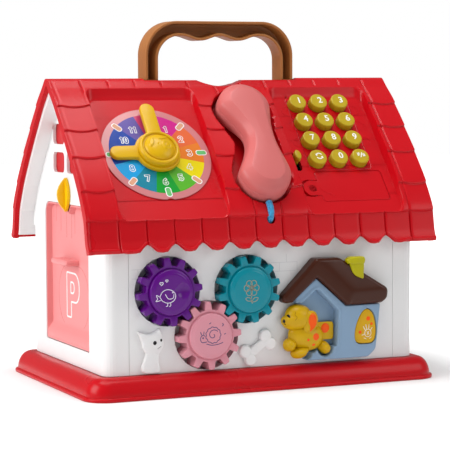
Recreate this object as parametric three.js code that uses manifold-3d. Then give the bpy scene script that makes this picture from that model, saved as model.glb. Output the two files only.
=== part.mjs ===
// A toddler's activity house in moulded plastic: a white house on a red base, a red
// tiled roof with a play clock, a lift-off telephone handset on a cord, a keypad and a
// battery door, three meshing gears and a dog kennel on the front wall, a drop-down
// garage door with a turning catch in the left gable, and a folding carrying handle.
// Millimetres. X runs along the ridge, -Y is the front, +Z is up. The origin is the
// middle of the base's underside.
import * as THREE from 'three';
import { mergeVertices } from 'three/addons/utils/BufferGeometryUtils.js';
import Module from 'manifold-3d';

const wasm = await Module();
wasm.setup();

// Driving sizes
const houseLength = 269;
const houseDepth = 172;
const ridgeHeight = 245.5;
const eaveLow = 112.5;
const wall = 2.5;
const wallCornerRadius = 9;
const roofEndOverhang = 15.5;
const eaveOverhang = 7;
const lipReach = 5;
const baseEndMargin = 17;
const baseSideMargin = 14.5;
const baseCornerRadius = 19;
const baseHeight = 17.5;
const seamInset = 20;
const gap = 0.3;
const overrun = 1;

// Angles and rounding counts
const quarterTurn = Math.PI / 2;
const fullTurn = Math.PI * 2;
const coarseSides = 16;
const fineSides = 28;
const cornerSteps = 6;
const arcSteps = 6;

const houseHalf = houseLength / 2;
const houseHalfDepth = houseDepth / 2;
const roofHalf = houseHalf + roofEndOverhang;
const eaveHalfDepth = houseHalfDepth + eaveOverhang;
const lipHalfDepth = eaveHalfDepth + lipReach;
const baseHalf = houseHalf + baseEndMargin;
const baseHalfDepth = houseHalfDepth + baseSideMargin;
const wallFoot = baseHeight + gap;

const colours = {
  red: [0xd8202e, 0.32], white: [0xf4f4f2, 0.35], brown: [0x9a6238, 0.42], pink: [0xee8f8f, 0.4],
  keyOlive: [0xc9b43a, 0.38], clockYellow: [0xe6bd25, 0.35], kennelBlue: [0x8fa6c6, 0.45],
  roofBrown: [0x552a17, 0.35], lime: [0xbfb916, 0.4], dogYellow: [0xd9a81a, 0.38],
  purple: [0x68209a, 0.3], teal: [0x0096ae, 0.35], gearPink: [0xe5a3b6, 0.4],
  doorPink: [0xf29a98, 0.4], steel: [0xb8bcc2, 0.3], board: [0x1f6b3a, 0.5],
  black: [0x1c1c1e, 0.5], silicone: [0xd9d9d6, 0.6], cord: [0x1c8fd0, 0.8], cell: [0x2d4a8a, 0.35],
  dial: [0xe8b8c0, 0.35],
};

function material(name) {
  const [color, roughness] = colours[name];
  const metalness = name === 'steel' ? 1 : 0;
  return new THREE.MeshStandardMaterial({ color, roughness, metalness });
}

// A closed mesh geometry becomes a solid that can be joined and cut.
function solid(geometry) {
  const bare = geometry.clone();
  bare.deleteAttribute('normal');
  bare.deleteAttribute('uv');
  const merged = mergeVertices(bare, 1e-4);
  const vertProperties = new Float32Array(merged.attributes.position.array);
  const triVerts = new Uint32Array(merged.index.array);
  const body = new wasm.Manifold(new wasm.Mesh({ numProp: 3, vertProperties, triVerts }));
  if (body.volume() > 0) return body;
  triVerts.reverse();
  return new wasm.Manifold(new wasm.Mesh({ numProp: 3, vertProperties, triVerts }));
}

function geometryOf(body) {
  const mesh = body.getMesh();
  const geometry = new THREE.BufferGeometry();
  geometry.setAttribute('position', new THREE.BufferAttribute(new Float32Array(mesh.vertProperties), 3));
  geometry.setIndex(new THREE.BufferAttribute(new Uint32Array(mesh.triVerts), 1));
  return geometry;
}

function outline(points) {
  return new THREE.Shape(points.map(([x, y]) => new THREE.Vector2(x, y)));
}

function extrude(shape, depth, options = {}) {
  return new THREE.ExtrudeGeometry(shape, { depth, bevelEnabled: false, curveSegments: arcSteps, ...options });
}

// Prisms of an outline: (y, z) along X, (x, z) along Y, (x, y) along Z.
function alongX(points, from, to) {
  const geometry = extrude(outline(points), to - from);
  const turn = new THREE.Matrix4().makeBasis(
    new THREE.Vector3(0, 1, 0), new THREE.Vector3(0, 0, 1), new THREE.Vector3(1, 0, 0));
  geometry.applyMatrix4(turn);
  geometry.translate(from, 0, 0);
  return solid(geometry);
}

function alongY(points, from, to) {
  const geometry = extrude(outline(points), to - from);
  geometry.rotateX(quarterTurn);
  geometry.translate(0, to, 0);
  return solid(geometry);
}

function alongZ(points, from, to) {
  const geometry = extrude(outline(points), to - from);
  geometry.translate(0, 0, from);
  return solid(geometry);
}

function block(low, high) {
  const geometry = new THREE.BoxGeometry(high[0] - low[0], high[1] - low[1], high[2] - low[2]);
  geometry.translate((low[0] + high[0]) / 2, (low[1] + high[1]) / 2, (low[2] + high[2]) / 2);
  return solid(geometry);
}

function round(radius, from, to, x = 0, y = 0, sides = coarseSides) {
  const geometry = new THREE.CylinderGeometry(radius, radius, to - from, sides);
  geometry.rotateX(quarterTurn);
  geometry.translate(x, y, (from + to) / 2);
  return solid(geometry);
}

// A turned body about the local Z axis, from a closed list of (radius, height).
function turned(profile, x = 0, y = 0, sides = coarseSides) {
  const geometry = new THREE.LatheGeometry(profile.map(([r, z]) => new THREE.Vector2(r, z)), sides);
  geometry.rotateX(quarterTurn);
  geometry.translate(x, y, 0);
  return solid(geometry);
}

// Corner points of a rectangle whose corners are rounded.
function roundedRectangle(xLow, xHigh, yLow, yHigh, radius, steps = cornerSteps) {
  const centres = [
    [xHigh - radius, yLow + radius, -quarterTurn],
    [xHigh - radius, yHigh - radius, 0],
    [xLow + radius, yHigh - radius, quarterTurn],
    [xLow + radius, yLow + radius, 2 * quarterTurn],
  ];
  const points = [];
  for (const [cx, cy, start] of centres) {
    for (let i = 0; i <= steps; i += 1) {
      const angle = start + quarterTurn * i / steps;
      points.push([cx + radius * Math.cos(angle), cy + radius * Math.sin(angle)]);
    }
  }
  return points;
}

function circle(x, y, radius, sides = fineSides) {
  const points = [];
  for (let i = 0; i < sides; i += 1) {
    const angle = fullTurn * i / sides;
    points.push([x + radius * Math.cos(angle), y + radius * Math.sin(angle)]);
  }
  return points;
}

// A closed skin over rings that all have the same number of points, with flat ends.
function loft(rings) {
  const count = rings[0].length;
  const positions = rings.flat(2);
  const index = [];
  for (let r = 0; r + 1 < rings.length; r += 1) {
    for (let i = 0; i < count; i += 1) {
      const a = r * count + i;
      const b = r * count + (i + 1) % count;
      index.push(a, b, b + count, a, b + count, a + count);
    }
  }
  const last = (rings.length - 1) * count;
  for (let i = 1; i + 1 < count; i += 1) {
    index.push(0, i + 1, i);
    index.push(last, last + i, last + i + 1);
  }
  const geometry = new THREE.BufferGeometry();
  geometry.setAttribute('position', new THREE.BufferAttribute(new Float32Array(positions), 3));
  geometry.setIndex(index);
  return solid(geometry);
}

// Moves an open line to its right-hand side by a distance, with mitred corners.
function offsetLine(points, distance) {
  return points.map((point, i) => {
    const before = points[Math.max(i - 1, 0)];
    const after = points[Math.min(i + 1, points.length - 1)];
    const first = new THREE.Vector2(point[0] - before[0], point[1] - before[1]);
    const second = new THREE.Vector2(after[0] - point[0], after[1] - point[1]);
    if (i === 0) first.copy(second);
    if (i === points.length - 1) second.copy(first);
    first.normalize();
    second.normalize();
    const normal = new THREE.Vector2(first.y + second.y, -first.x - second.x).normalize();
    const stretch = 1 / Math.max(normal.dot(new THREE.Vector2(first.y, -first.x)), 0.5);
    return [point[0] + normal.x * distance * stretch, point[1] + normal.y * distance * stretch];
  });
}

function mirrored(points) {
  return points.map(([a, b]) => [-a, b]).reverse();
}

function inPlace(body, holder) {
  holder.updateMatrixWorld(true);
  return body.transform(holder.matrixWorld.elements);
}

const house = new THREE.Group();
const slope = new THREE.Group();
const front = new THREE.Group();
const gable = new THREE.Group();
house.add(slope, front, gable);

function piece(name, body, colour, parent = house) {
  const mesh = new THREE.Mesh(geometryOf(body), material(colour));
  mesh.name = name;
  parent.add(mesh);
  return mesh;
}

// The sloping floor of the play panels. In the slope group, X runs along the ridge,
// Y climbs the roof and Z stands out of it.
const panel = {
  footInset: 3, footRise: 24.8, headOut: 12, headDrop: 16.2, floorThickness: 3,
  clockLow: -122, clockHigh: -30.5, keypadLow: 37.5, keypadHigh: 124, cornerRadius: 6,
};
const panelFoot = [-eaveHalfDepth + panel.footInset, eaveLow + panel.footRise];
const panelHead = [-panel.headOut, ridgeHeight - panel.headDrop];
const panelAngle = Math.atan2(panelHead[1] - panelFoot[1], panelHead[0] - panelFoot[0]);
const panelLength = Math.hypot(panelHead[1] - panelFoot[1], panelHead[0] - panelFoot[0]);
slope.position.set(0, ...panelFoot);
slope.rotation.x = panelAngle;

// In the front group, Y is up and Z stands out of the front wall.
front.position.set(0, -houseHalfDepth, 0);
front.rotation.x = quarterTurn;

// In the gable group, X runs towards the front, Y is up and Z stands out of the left wall.
gable.position.set(-houseHalf, 0, 0);
gable.rotation.set(quarterTurn, -quarterTurn, 0);

// Half of the roof's outer line, as shares of the eave's half depth and the roof's height.
const roofLineShares = [
  [0, 1], [0.04, 0.994], [0.113, 0.943], [0.258, 0.849], [0.452, 0.696],
  [0.656, 0.528], [0.828, 0.37], [0.968, 0.195], [1, 0.075],
];
const roofHeight = ridgeHeight - eaveLow;
const frontRoofLine = roofLineShares.map(([y, z]) => [-y * eaveHalfDepth, eaveLow + z * roofHeight]);
frontRoofLine.push([-lipHalfDepth, eaveLow]);

function roofLineInside(distance) {
  const half = offsetLine(frontRoofLine, -distance);
  half[0] = [0, half[0][1]];
  return half.filter(([y], i) => i === 0 || y < 0);
}

function roofBand(outside, inside, from, to, floorHeight) {
  const outer = roofLineInside(outside);
  const inner = roofLineInside(inside);
  const back = inner.slice(1).map(([y, z]) => [-y, z]);
  const band = [...mirrored(outer), ...outer.slice(1), ...inner.slice().reverse(), ...back];
  const room = block(
    [from - overrun, -lipHalfDepth - overrun, floorHeight],
    [to + overrun, lipHalfDepth + overrun, ridgeHeight + overrun]);
  return alongX(band, from, to).intersect(room);
}

// Sizes of the pieces, each in its own group's coordinates
const roof = {
  thickness: 3, rimThickness: 5.5, rimWidth: 5.5,
  scallopPitch: 22.9, scallopCount: 10, scallopHeight: 6, scallopSteps: 4,
  scallopShift: 2.2, scallopPower: 1.3,
  ridgeDrop: 2, ridgeDropHalf: 68.5, scoopX: -1.5, scoopHalf: 21, scoopDepth: 5,
};

const handle = {
  halfWidth: 65.9, legWidth: 10.9, depth: 18, frontY: -2, rise: 46, cornerRadius: 28,
  wall: 2.2, pivotDrop: 14.5, gripThickness: 12, waveHeight: 1.9, waveLength: 34, waveSteps: 18,
  pinRadius: 2.5, pinPlay: 0.4, slotPlay: 1.2, lugThickness: 3, lugRadius: 7, channelDrop: 1.5,
  innerRadius: 19, slotBack: 30,
};
const handlePivotY = handle.frontY + handle.depth / 2;
const handleTop = ridgeHeight + handle.rise;
const handlePivotZ = ridgeHeight - handle.pivotDrop;
const channelFoot = ridgeHeight - handle.channelDrop;
const legInside = handle.halfWidth - handle.legWidth;

const handset = {
  x: 3, foot: 12, head: 122, bottom: -2.4, top: 22, earRadius: 21.7, mouthRadius: 21.5, waistHalf: 12,
  earShift: 3.2, mouthShift: 1.8, waistShift: 7, seamHeight: 9, waistLift: 6.5, shell: 2.4,
  shoulderAngle: 0.62, softEdge: 1.2, rounding: 5.5,
};
const cradle = { floor: -2.8, clearance: 3, wall: 2.4, waistHalf: 20 };
const mouthT = handset.foot + handset.mouthRadius;
const earT = handset.head - handset.earRadius;
const waistT = (mouthT + earT) / 2;

const clock = {
  x: (panel.clockLow + panel.clockHigh) / 2, t: 63, ringRadius: 45, dialThickness: 0.7,
  spindleRadius: 2.6, play: 0.35, flangeRadius: 5, flangeThickness: 1.5,
  hubRadius: 18.7, handThickness: 3.6, edge: 0.8, capRadius: 16.6, domeRadius: 12.6, domeHeight: 5,
  minuteReach: 45, hourReach: 39.5, handWidth: 12, earRadius: 3,
};

const keypad = {
  x: 79.8, t: 81.8, pitchX: 19.3, pitchT: 19.5, columns: 3, rows: 4, radius: 7.4, height: 6.2,
  play: 0.4, flangeRadius: 8.6, flangeThickness: 1.2, travel: 2, edge: 0.9,
  membraneThickness: 1.4, boardThickness: 1.6, boardMargin: 5, postRadius: 2.2,
};

const powerSwitch = {
  x: 43, slotFoot: 43.2, slotHead: 61, width: 5.6, leverLength: 10.5, leverHeight: 6.5, travel: 6.4,
  play: 0.35, plateThickness: 1.4, plateMargin: 1.6, nose: 2.5,
};

const batteryDoor = {
  low: 55, high: 115, foot: 12, head: 41.5, cornerRadius: 2.5, thickness: 1.7, play: 0.4,
  tabX: 48.8, tabT: 25.3, tabRadius: 7.5, bossRadius: 4.4, bossDepth: 4.2,
  screwRadius: 1.3, headRadius: 2.7, headThickness: 1.3, sinkDepth: 2.2, screwLength: 8, ledge: 1.6,
};

const cell = { radius: 7, length: 49, nubRadius: 2.7, nubLength: 1.4, pitch: 14.4, count: 2 };
const cellBox = { wall: 1.6, play: 0.4, earRadius: 4 };

const cord = { radius: 2.6, sides: 8, steps: 38, bore: 0.7, knotRadius: 5.6 };

const base = {
  lipHeight: 3, lipStep: 2.2, lipEdge: 0.8, skin: 2.5, floor: 2.5, ledgeWidth: 5, topMargin: 0.8, steps: 5,
};

const wallRise = 11.5;
const wallTop = eaveLow + wallRise;
const soffit = { inset: 5.8, thickness: 3.8, reach: 11.5, rise: 2.5 };
const door = {
  halfWidth: 51.5, foot: 32, head: 145.5, cornerRadius: 9, play: 0.4, thickness: 7, rim: 3.4, dish: 3,
  pivotDepth: 4, knuckleRadius: 3.6, rodRadius: 1.5, rodPlay: 0.35, footRadius: 1,
  ledgeLow: -20.5, ledgeHigh: 14.5, ledgeFoot: 96.8, ledgeHead: 101.3, ledgeReach: 6.5,
};
const latch = {
  across: 3.7, rise: 7.5, halfHeight: 13.5, halfWidth: 7.5, thickness: 2.3, finReach: 6.4,
  finHalfThickness: 1.1, finSteps: 8, bitePlay: 0.6, shaftRadius: 3, play: 0.35, washerRadius: 4.4, washerThickness: 2,
};
const latchUp = door.head + latch.rise;
// The gable's panes stand between the garage door's head and the ridge.
const pane = { inner: 3, outer: 29.5, radius: 4, backThickness: 1.2, backMargin: 4 };
const paneShares = [[0.245, 0.408], [0.471, 0.635]];
const paneRows = paneShares.map((row) => row.map((share) => door.head + share * (ridgeHeight - door.head)));
const bay = { depth: 66, wall: 2, clearance: 0.9 };

const gear = {
  pitchRadius: 24.2, tipRadius: 26.8, rootRadius: 20.4, teeth: 12, back: -8.6, face: 7.4,
  capRadius: 17.8, capFace: 10.4, capEdge: 1.2, boreRadius: 3.3, boreEnd: 4.6, tipHalfShare: 0.15,
  rootHalfShare: 0.3, phase: 3.5, wellRadius: 27.3, wellDepth: 10, wellSkin: 2.2,
  axleRadius: 3, axleEnd: 4, axleHeadRadius: 5, axleHeadThickness: 1.6,
  dimpleRadius: 6, dimpleDepth: 2, dimpleOffset: 10.5,
};
const pinkGear = [-50, 45.5];
const purpleDirection = [-32.5, 35.5];
const tealDirection = [34, 34.5];

const relief = { height: 2.6, reach: 0.8 };
const cat = { x: -97.5, z: 18.8, width: 21, height: 34 };
const bone = { low: [-15.7, 27.4], high: [1.7, 39.2], knobRadius: 5, barHalf: 3.8, knobSpread: 3.9 };

const kennel = {
  left: 13, right: 104, ridgeZ: 101.3, cornerX: 68, wallFace: 10.2, wallSide: 6.4, wallEnd: 7.6,
  roofFace: 14.2, roofSide: 9.6, roofEnd: 11, recessFloor: 1.8, fit: 0.3, headFit: 0.5,
};
const puppy = {
  headX: 27.5, headZ: 55.3, headRadius: 11, snoutX: 18.1, snoutZ: 52.8, snoutRadius: 5.6,
  earX: 36.8, earZ: 49.6, earHalfWidth: 5.6, earHalfHeight: 9, bodyX: 35, bodyZ: 37.6,
  bodyHalfWidth: 14.6, bodyHalfHeight: 10.6,
  leftPawX: 19.2, leftPawZ: 33.2, rightPawX: 48.9, rightPawZ: 29.6, pawRadius: 5.8,
  frontPawX: 28.9, frontPawZ: 26.7, frontPawWidth: 8, frontPawHeight: 5.2, snoutShare: 0.9, bodyShare: 0.86, pawShare: 0.8,
  boardLow: 40, boardHigh: 58.4, boardFoot: 30.6, boardHead: 51, boardFace: 6, face: 14.2, back: 4.2,
};
const paw = {
  x: 85, z: 45.8, halfWidth: 9.6, halfHeight: 13.9, travel: 1.8, proud: 1.4, play: 0.4,
  flange: 1.3, flangeThickness: 1.2, taper: 0.16,
};
const chimney = {
  capLow: 66.9, capHigh: 84.6, capFoot: 96, capHead: 102.6, stemLow: 71, stemHigh: 83, foot: 84.6,
  back: 7.5, face: 14.2,
};
const speaker = {
  x: 60, z: 70, radius: 20, depth: 12, magnetRadius: 11, frameThickness: 2.5, slotWidth: 2.6,
  slotPitch: 6, slotCount: 6, ringSkin: 2, ringHeight: 4,
};

// Roof
function handsetHalfWidth(t) {
  const shoulder = handset.shoulderAngle;
  const low = mouthT + handset.mouthRadius * Math.sin(shoulder);
  const high = earT - handset.earRadius * Math.sin(shoulder);
  const lowWidth = handset.mouthRadius * Math.cos(shoulder);
  const highWidth = handset.earRadius * Math.cos(shoulder);
  const end = t < waistT ? low : high;
  const width = t < waistT ? lowWidth : highWidth;
  const share = Math.min(Math.max((t - waistT) / (end - waistT), 0), 1);
  return handset.waistHalf + (width - handset.waistHalf) * (1 - Math.cos(share * 2 * quarterTurn)) / 2;
}

// Two round ends joined by a narrow waist, anticlockwise. It grows by a distance all round,
// and the waist is no narrower than the half width asked for.
function waistedOutline(grow, waistHalf = 0) {
  const points = [];
  const shoulder = handset.shoulderAngle;
  const mouthX = handset.x + handset.mouthShift;
  const earX = handset.x + handset.earShift;
  const waistX = handset.x + handset.waistShift;
  const low = mouthT + handset.mouthRadius * Math.sin(shoulder);
  const high = earT - handset.earRadius * Math.sin(shoulder);
  const centreAt = (t) => {
    const end = t < waistT ? mouthX : earX;
    const limit = t < waistT ? low : high;
    const share = (t - waistT) / (limit - waistT);
    return waistX + (end - waistX) * share * share;
  };
  const side = (sign, t) => {
    const half = Math.max(handsetHalfWidth(t) + grow, waistHalf);
    points.push([centreAt(t) + sign * half, t]);
  };
  const arc = (x, t, radius, start) => {
    const sweep = 2 * quarterTurn + 2 * shoulder;
    for (let i = 0; i <= 2 * arcSteps; i += 1) {
      const angle = start + sweep * i / (2 * arcSteps);
      points.push([x + (radius + grow) * Math.cos(angle), t + (radius + grow) * Math.sin(angle)]);
    }
  };
  arc(mouthX, mouthT, handset.mouthRadius, 2 * quarterTurn - shoulder);
  for (let i = 1; i < arcSteps; i += 1) side(1, low + (high - low) * i / arcSteps);
  arc(earX, earT, handset.earRadius, -shoulder);
  for (let i = arcSteps - 1; i > 0; i -= 1) side(-1, low + (high - low) * i / arcSteps);
  return points;
}

function panelPan(low, high) {
  const foot = panelFoot[0];
  const head = panelHead[0];
  const skin = roof.thickness;
  const climb = Math.tan(panelAngle);
  const drop = panel.floorThickness / Math.cos(panelAngle);
  const sky = ridgeHeight + roofHeight;
  const wedge = (reach, lower) => alongX([
    [foot - reach, panelFoot[1] - reach * climb - lower],
    [head + reach, panelHead[1] + reach * climb - lower],
    [head + reach, sky],
    [foot - reach, sky],
  ], low - skin - overrun, high + skin + overrun);
  const plan = roundedRectangle(low - skin, high + skin, foot - skin, head + skin, panel.cornerRadius + skin);
  const cavityPlan = roundedRectangle(low, high, foot, head, panel.cornerRadius);
  return {
    walls: alongZ(plan, eaveLow, ridgeHeight).intersect(wedge(skin + overrun, drop)),
    cavity: alongZ(cavityPlan, eaveLow, sky).intersect(wedge(skin + overrun, 0)),
  };
}

function keyPlaces() {
  const places = [];
  for (let row = 0; row < keypad.rows; row += 1) {
    for (let column = 0; column < keypad.columns; column += 1) {
      places.push([
        keypad.x + (column - (keypad.columns - 1) / 2) * keypad.pitchX,
        keypad.t + ((keypad.rows - 1) / 2 - row) * keypad.pitchT,
      ]);
    }
  }
  return places;
}

const keyFlangeTop = -panel.floorThickness - gap;
const keyBottom = keyFlangeTop - keypad.flangeThickness;
const membraneTop = keyBottom - keypad.travel - gap;
const boardTop = membraneTop - keypad.membraneThickness - gap;

function batteryDoorPlate(grow, from, to) {
  const d = batteryDoor;
  const plate = alongZ(
    roundedRectangle(d.low - grow, d.high + grow, d.foot - grow, d.head + grow, d.cornerRadius), from, to);
  const tab = round(d.tabRadius + grow, from, to, d.tabX, d.tabT, fineSides);
  const bridge = block(
    [d.tabX, d.tabT - d.tabRadius - grow, from],
    [d.low + d.cornerRadius, d.tabT + d.tabRadius + grow, to]);
  return plate.add(tab).add(bridge);
}

// The cord's route in millimetres, chosen by hand: out of the handset's foot, over the
// roof's lower edge, in through the roof, over the front wall's top and straight down.
const cordRoute = [
  [3.7, -86.3, 147.8], [3.8, -87.6, 146.1], [3.9, -89.0, 143.6], [4.0, -89.8, 140.6], [4.0, -89.5, 137.5],
  [4.0, -88.2, 134.7], [4.0, -85.8, 132.4], [4.0, -82.6, 130.6], [4.1, -79.2, 128.7], [4.2, -75.8, 126.2],
  [4.2, -72.6, 122.6], [4.2, -70.2, 118.0], [4.2, -69.0, 112.6], [4.2, -68.6, 106.0], [4.2, -68.5, 98.0],
  [4.2, -68.5, 88.0], [4.2, -68.5, 78.0], [4.2, -68.5, 68.0], [4.2, -68.5, 58.0], [4.2, -68.5, 48.0],
  [4.2, -68.5, 38.0],
];

function cordTube(radius, from, to, steps) {
  const points = cordRoute.slice(from, to).map(([x, y, z]) => new THREE.Vector3(x, y, z));
  const path = new THREE.CatmullRomCurve3(points, false, 'centripetal');
  const section = outline(circle(0, 0, radius, cord.sides));
  return solid(new THREE.ExtrudeGeometry(section, { steps, bevelEnabled: false, extrudePath: path }));
}

function buildRoof() {
  let body = roofBand(0, roof.thickness, -roofHalf, roofHalf, eaveLow)
    .add(roofBand(0, roof.rimThickness, -roofHalf, -roofHalf + roof.rimWidth, eaveLow))
    .add(roofBand(0, roof.rimThickness, roofHalf - roof.rimWidth, roofHalf, eaveLow));
  const full = alongX([...frontRoofLine, ...mirrored(frontRoofLine).slice(0, -1)], -roofHalf, roofHalf);
  const pans = [panelPan(panel.clockLow, panel.clockHigh), panelPan(panel.keypadLow, panel.keypadHigh)];
  for (const pan of pans) body = body.add(pan.walls.intersect(full));
  for (const pan of pans) body = body.subtract(pan.cavity);

  const cradleOutside = alongZ(
    waistedOutline(cradle.clearance + cradle.wall, cradle.waistHalf + cradle.wall),
    cradle.floor - cradle.wall, handset.top);
  const cradleInside = alongZ(
    waistedOutline(cradle.clearance, cradle.waistHalf), cradle.floor, handset.top + overrun);
  body = body.add(inPlace(cradleOutside, slope).intersect(full));
  const loweredTop = ridgeHeight - roof.ridgeDrop;
  const scoopFloor = loweredTop - roof.scoopDepth;
  const scoopFrame = block(
    [roof.scoopX - roof.ridgeDropHalf / 2, -eaveHalfDepth / 4, scoopFloor - roof.thickness],
    [roof.scoopX + roof.ridgeDropHalf / 2, eaveHalfDepth / 4, loweredTop]);
  body = body.add(scoopFrame.intersect(full));
  body = body.subtract(inPlace(cradleInside, slope));
  body = body.subtract(block(
    [-roof.ridgeDropHalf, -eaveHalfDepth, loweredTop], [roof.ridgeDropHalf, eaveHalfDepth, ridgeHeight + overrun]));
  const scoopRadius = (roof.scoopHalf ** 2 + roof.scoopDepth ** 2) / (2 * roof.scoopDepth);
  body = body.subtract(alongY(
    circle(roof.scoopX, scoopFloor + scoopRadius, scoopRadius, 2 * fineSides), -eaveHalfDepth, eaveHalfDepth));

  for (let n = 0; n < roof.scallopCount; n += 1) {
    const x = (n - (roof.scallopCount - 1) / 2) * roof.scallopPitch + roof.scallopShift;
    const notch = [];
    for (let i = -roof.scallopSteps; i <= roof.scallopSteps; i += 1) {
      const share = i / roof.scallopSteps;
      const rise = ((1 + Math.cos(Math.PI * share)) / 2) ** roof.scallopPower;
      notch.push([x + share * roof.scallopPitch / 2, eaveLow + roof.scallopHeight * rise]);
    }
    notch.push([x + roof.scallopPitch / 2, eaveLow - overrun], [x - roof.scallopPitch / 2, eaveLow - overrun]);
    body = body.subtract(alongY(notch, -lipHalfDepth - overrun, lipHalfDepth + overrun));
  }

  const slot = handle.slotPlay;
  for (const side of [-1, 1]) {
    const middle = side * (handle.halfWidth - handle.legWidth / 2);
    const lugFar = handle.legWidth / 2 + slot + handle.lugThickness;
    const lugs = block(
      [middle - lugFar, handlePivotY - handle.lugRadius, handlePivotZ - handle.lugRadius],
      [middle + lugFar, handlePivotY + handle.lugRadius, ridgeHeight]);
    body = body.add(lugs.intersect(full));
    body = body.subtract(block(
      [middle - handle.legWidth / 2 - slot, handle.frontY - slot, handlePivotZ - handle.depth],
      [middle + handle.legWidth / 2 + slot, handlePivotY + handle.slotBack, ridgeHeight + overrun]));
    body = body.subtract(pinSolid(side, handle.pinRadius + handle.pinPlay / 2, overrun));
  }

  let cuts = round(clock.spindleRadius + clock.play, -panel.floorThickness - overrun, overrun, clock.x, clock.t);
  for (const [x, t] of keyPlaces()) {
    cuts = cuts.add(round(keypad.radius + keypad.play, -panel.floorThickness - overrun, overrun, x, t));
  }
  const d = batteryDoor;
  cuts = cuts.add(batteryDoorPlate(d.play, -d.thickness - gap, overrun));
  cuts = cuts.add(block(
    [d.low + d.ledge, d.foot + d.ledge, -panel.floorThickness - overrun],
    [d.high - d.ledge, d.head - d.ledge, overrun]));
  cuts = cuts.add(round(d.bossRadius + d.play, -panel.floorThickness - overrun, overrun, d.tabX, d.tabT));
  cuts = cuts.add(block(
    [powerSwitch.x - powerSwitch.width / 2 - powerSwitch.play, powerSwitch.slotFoot, -panel.floorThickness - overrun],
    [powerSwitch.x + powerSwitch.width / 2 + powerSwitch.play, powerSwitch.slotHead, overrun]));
  body = body.subtract(inPlace(cuts, slope));
  body = body.subtract(cordTube(cord.radius + cord.bore, 0, 10, 16));

  const posts = boardPosts(boardTop + gap, -panel.floorThickness + overrun / 4);
  return body.add(inPlace(posts, slope));
}

function pinSolid(side, radius, extra = 0) {
  const middle = side * (handle.halfWidth - handle.legWidth / 2);
  const half = handle.legWidth / 2 + handle.slotPlay + handle.lugThickness + extra;
  return alongX(circle(handlePivotY, handlePivotZ, radius, coarseSides), middle - half, middle + half);
}

function boardPosts(from, to) {
  const halfX = keypad.pitchX * (keypad.columns - 1) / 2 + keypad.flangeRadius + keypad.postRadius;
  const halfT = keypad.pitchT * (keypad.rows - 1) / 2 + keypad.postRadius;
  let posts = round(keypad.postRadius, from, to, keypad.x - halfX, keypad.t - halfT);
  posts = posts.add(round(keypad.postRadius, from, to, keypad.x + halfX, keypad.t - halfT));
  posts = posts.add(round(keypad.postRadius, from, to, keypad.x - halfX, keypad.t + halfT));
  return posts.add(round(keypad.postRadius, from, to, keypad.x + halfX, keypad.t + halfT));
}

piece('roof_shell', buildRoof(), 'red');

// Folding handle: a channel open to the front, with finger waves under the grip.
function handleOutline(inset) {
  const outer = handle.halfWidth - inset;
  const inner = legInside + inset;
  const top = handleTop - inset;
  const grip = handleTop - handle.gripThickness + inset;
  const foot = handlePivotZ - handle.depth;
  const outerRadius = handle.cornerRadius - inset;
  const innerRadius = handle.innerRadius + inset;
  const points = [[-inner, foot], [-outer, foot]];
  for (let i = 0; i <= arcSteps; i += 1) {
    const angle = 2 * quarterTurn - quarterTurn * i / arcSteps;
    points.push([-outer + outerRadius + outerRadius * Math.cos(angle), top - outerRadius + outerRadius * Math.sin(angle)]);
  }
  for (let i = 0; i <= arcSteps; i += 1) {
    const angle = quarterTurn - quarterTurn * i / arcSteps;
    points.push([outer - outerRadius + outerRadius * Math.cos(angle), top - outerRadius + outerRadius * Math.sin(angle)]);
  }
  points.push([outer, foot], [inner, foot]);
  for (let i = 0; i <= arcSteps; i += 1) {
    const angle = quarterTurn * i / arcSteps;
    points.push([inner - innerRadius + innerRadius * Math.cos(angle), grip - innerRadius + innerRadius * Math.sin(angle)]);
  }
  const reach = inner - innerRadius;
  for (let i = 1; i < handle.waveSteps; i += 1) {
    const x = reach - 2 * reach * i / handle.waveSteps;
    const rise = handle.waveHeight * (Math.cos(fullTurn * x / handle.waveLength) - 1);
    points.push([x, grip + rise]);
  }
  for (let i = 0; i <= arcSteps; i += 1) {
    const angle = quarterTurn + quarterTurn * i / arcSteps;
    points.push([-inner + innerRadius + innerRadius * Math.cos(angle), grip - innerRadius + innerRadius * Math.sin(angle)]);
  }
  return points;
}

function buildHandle() {
  const back = handle.frontY + handle.depth;
  let body = alongY(handleOutline(0), handle.frontY, back);
  const channel = alongY(handleOutline(handle.wall), handle.frontY - overrun, back - handle.wall);
  const above = block(
    [-handle.halfWidth, handle.frontY - overrun, channelFoot],
    [handle.halfWidth, back + overrun, handleTop]);
  body = body.subtract(channel.intersect(above));
  const profile = [[back, handleTop + overrun], [handle.frontY, handleTop + overrun]];
  for (let i = 0; i <= 2 * arcSteps; i += 1) {
    const angle = 2 * quarterTurn + 2 * quarterTurn * i / (2 * arcSteps);
    profile.push([
      handlePivotY + handle.depth / 2 * Math.cos(angle), handlePivotZ + handle.depth / 2 * Math.sin(angle)]);
  }
  body = body.intersect(alongX(profile, -handle.halfWidth - overrun, handle.halfWidth + overrun));
  for (const side of [-1, 1]) {
    body = body.subtract(pinSolid(side, handle.pinRadius + handle.pinPlay, overrun));
  }
  return body;
}
piece('handle', buildHandle(), 'brown');
piece('handle_pin_left', pinSolid(-1, handle.pinRadius), 'steel');
piece('handle_pin_right', pinSolid(1, handle.pinRadius), 'steel');

// Play clock: a printed dial, a spindle through the floor, an hour hand and a minute hand.
const dialBottom = gap;
const hourBottom = dialBottom + clock.dialThickness + gap;
const minuteBottom = hourBottom + clock.handThickness + gap;
const clockBore = clock.spindleRadius + clock.play;
const dial = round(clock.ringRadius, dialBottom, dialBottom + clock.dialThickness, 0, 0, 2 * fineSides)
  .subtract(round(clockBore, -overrun, minuteBottom));

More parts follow.
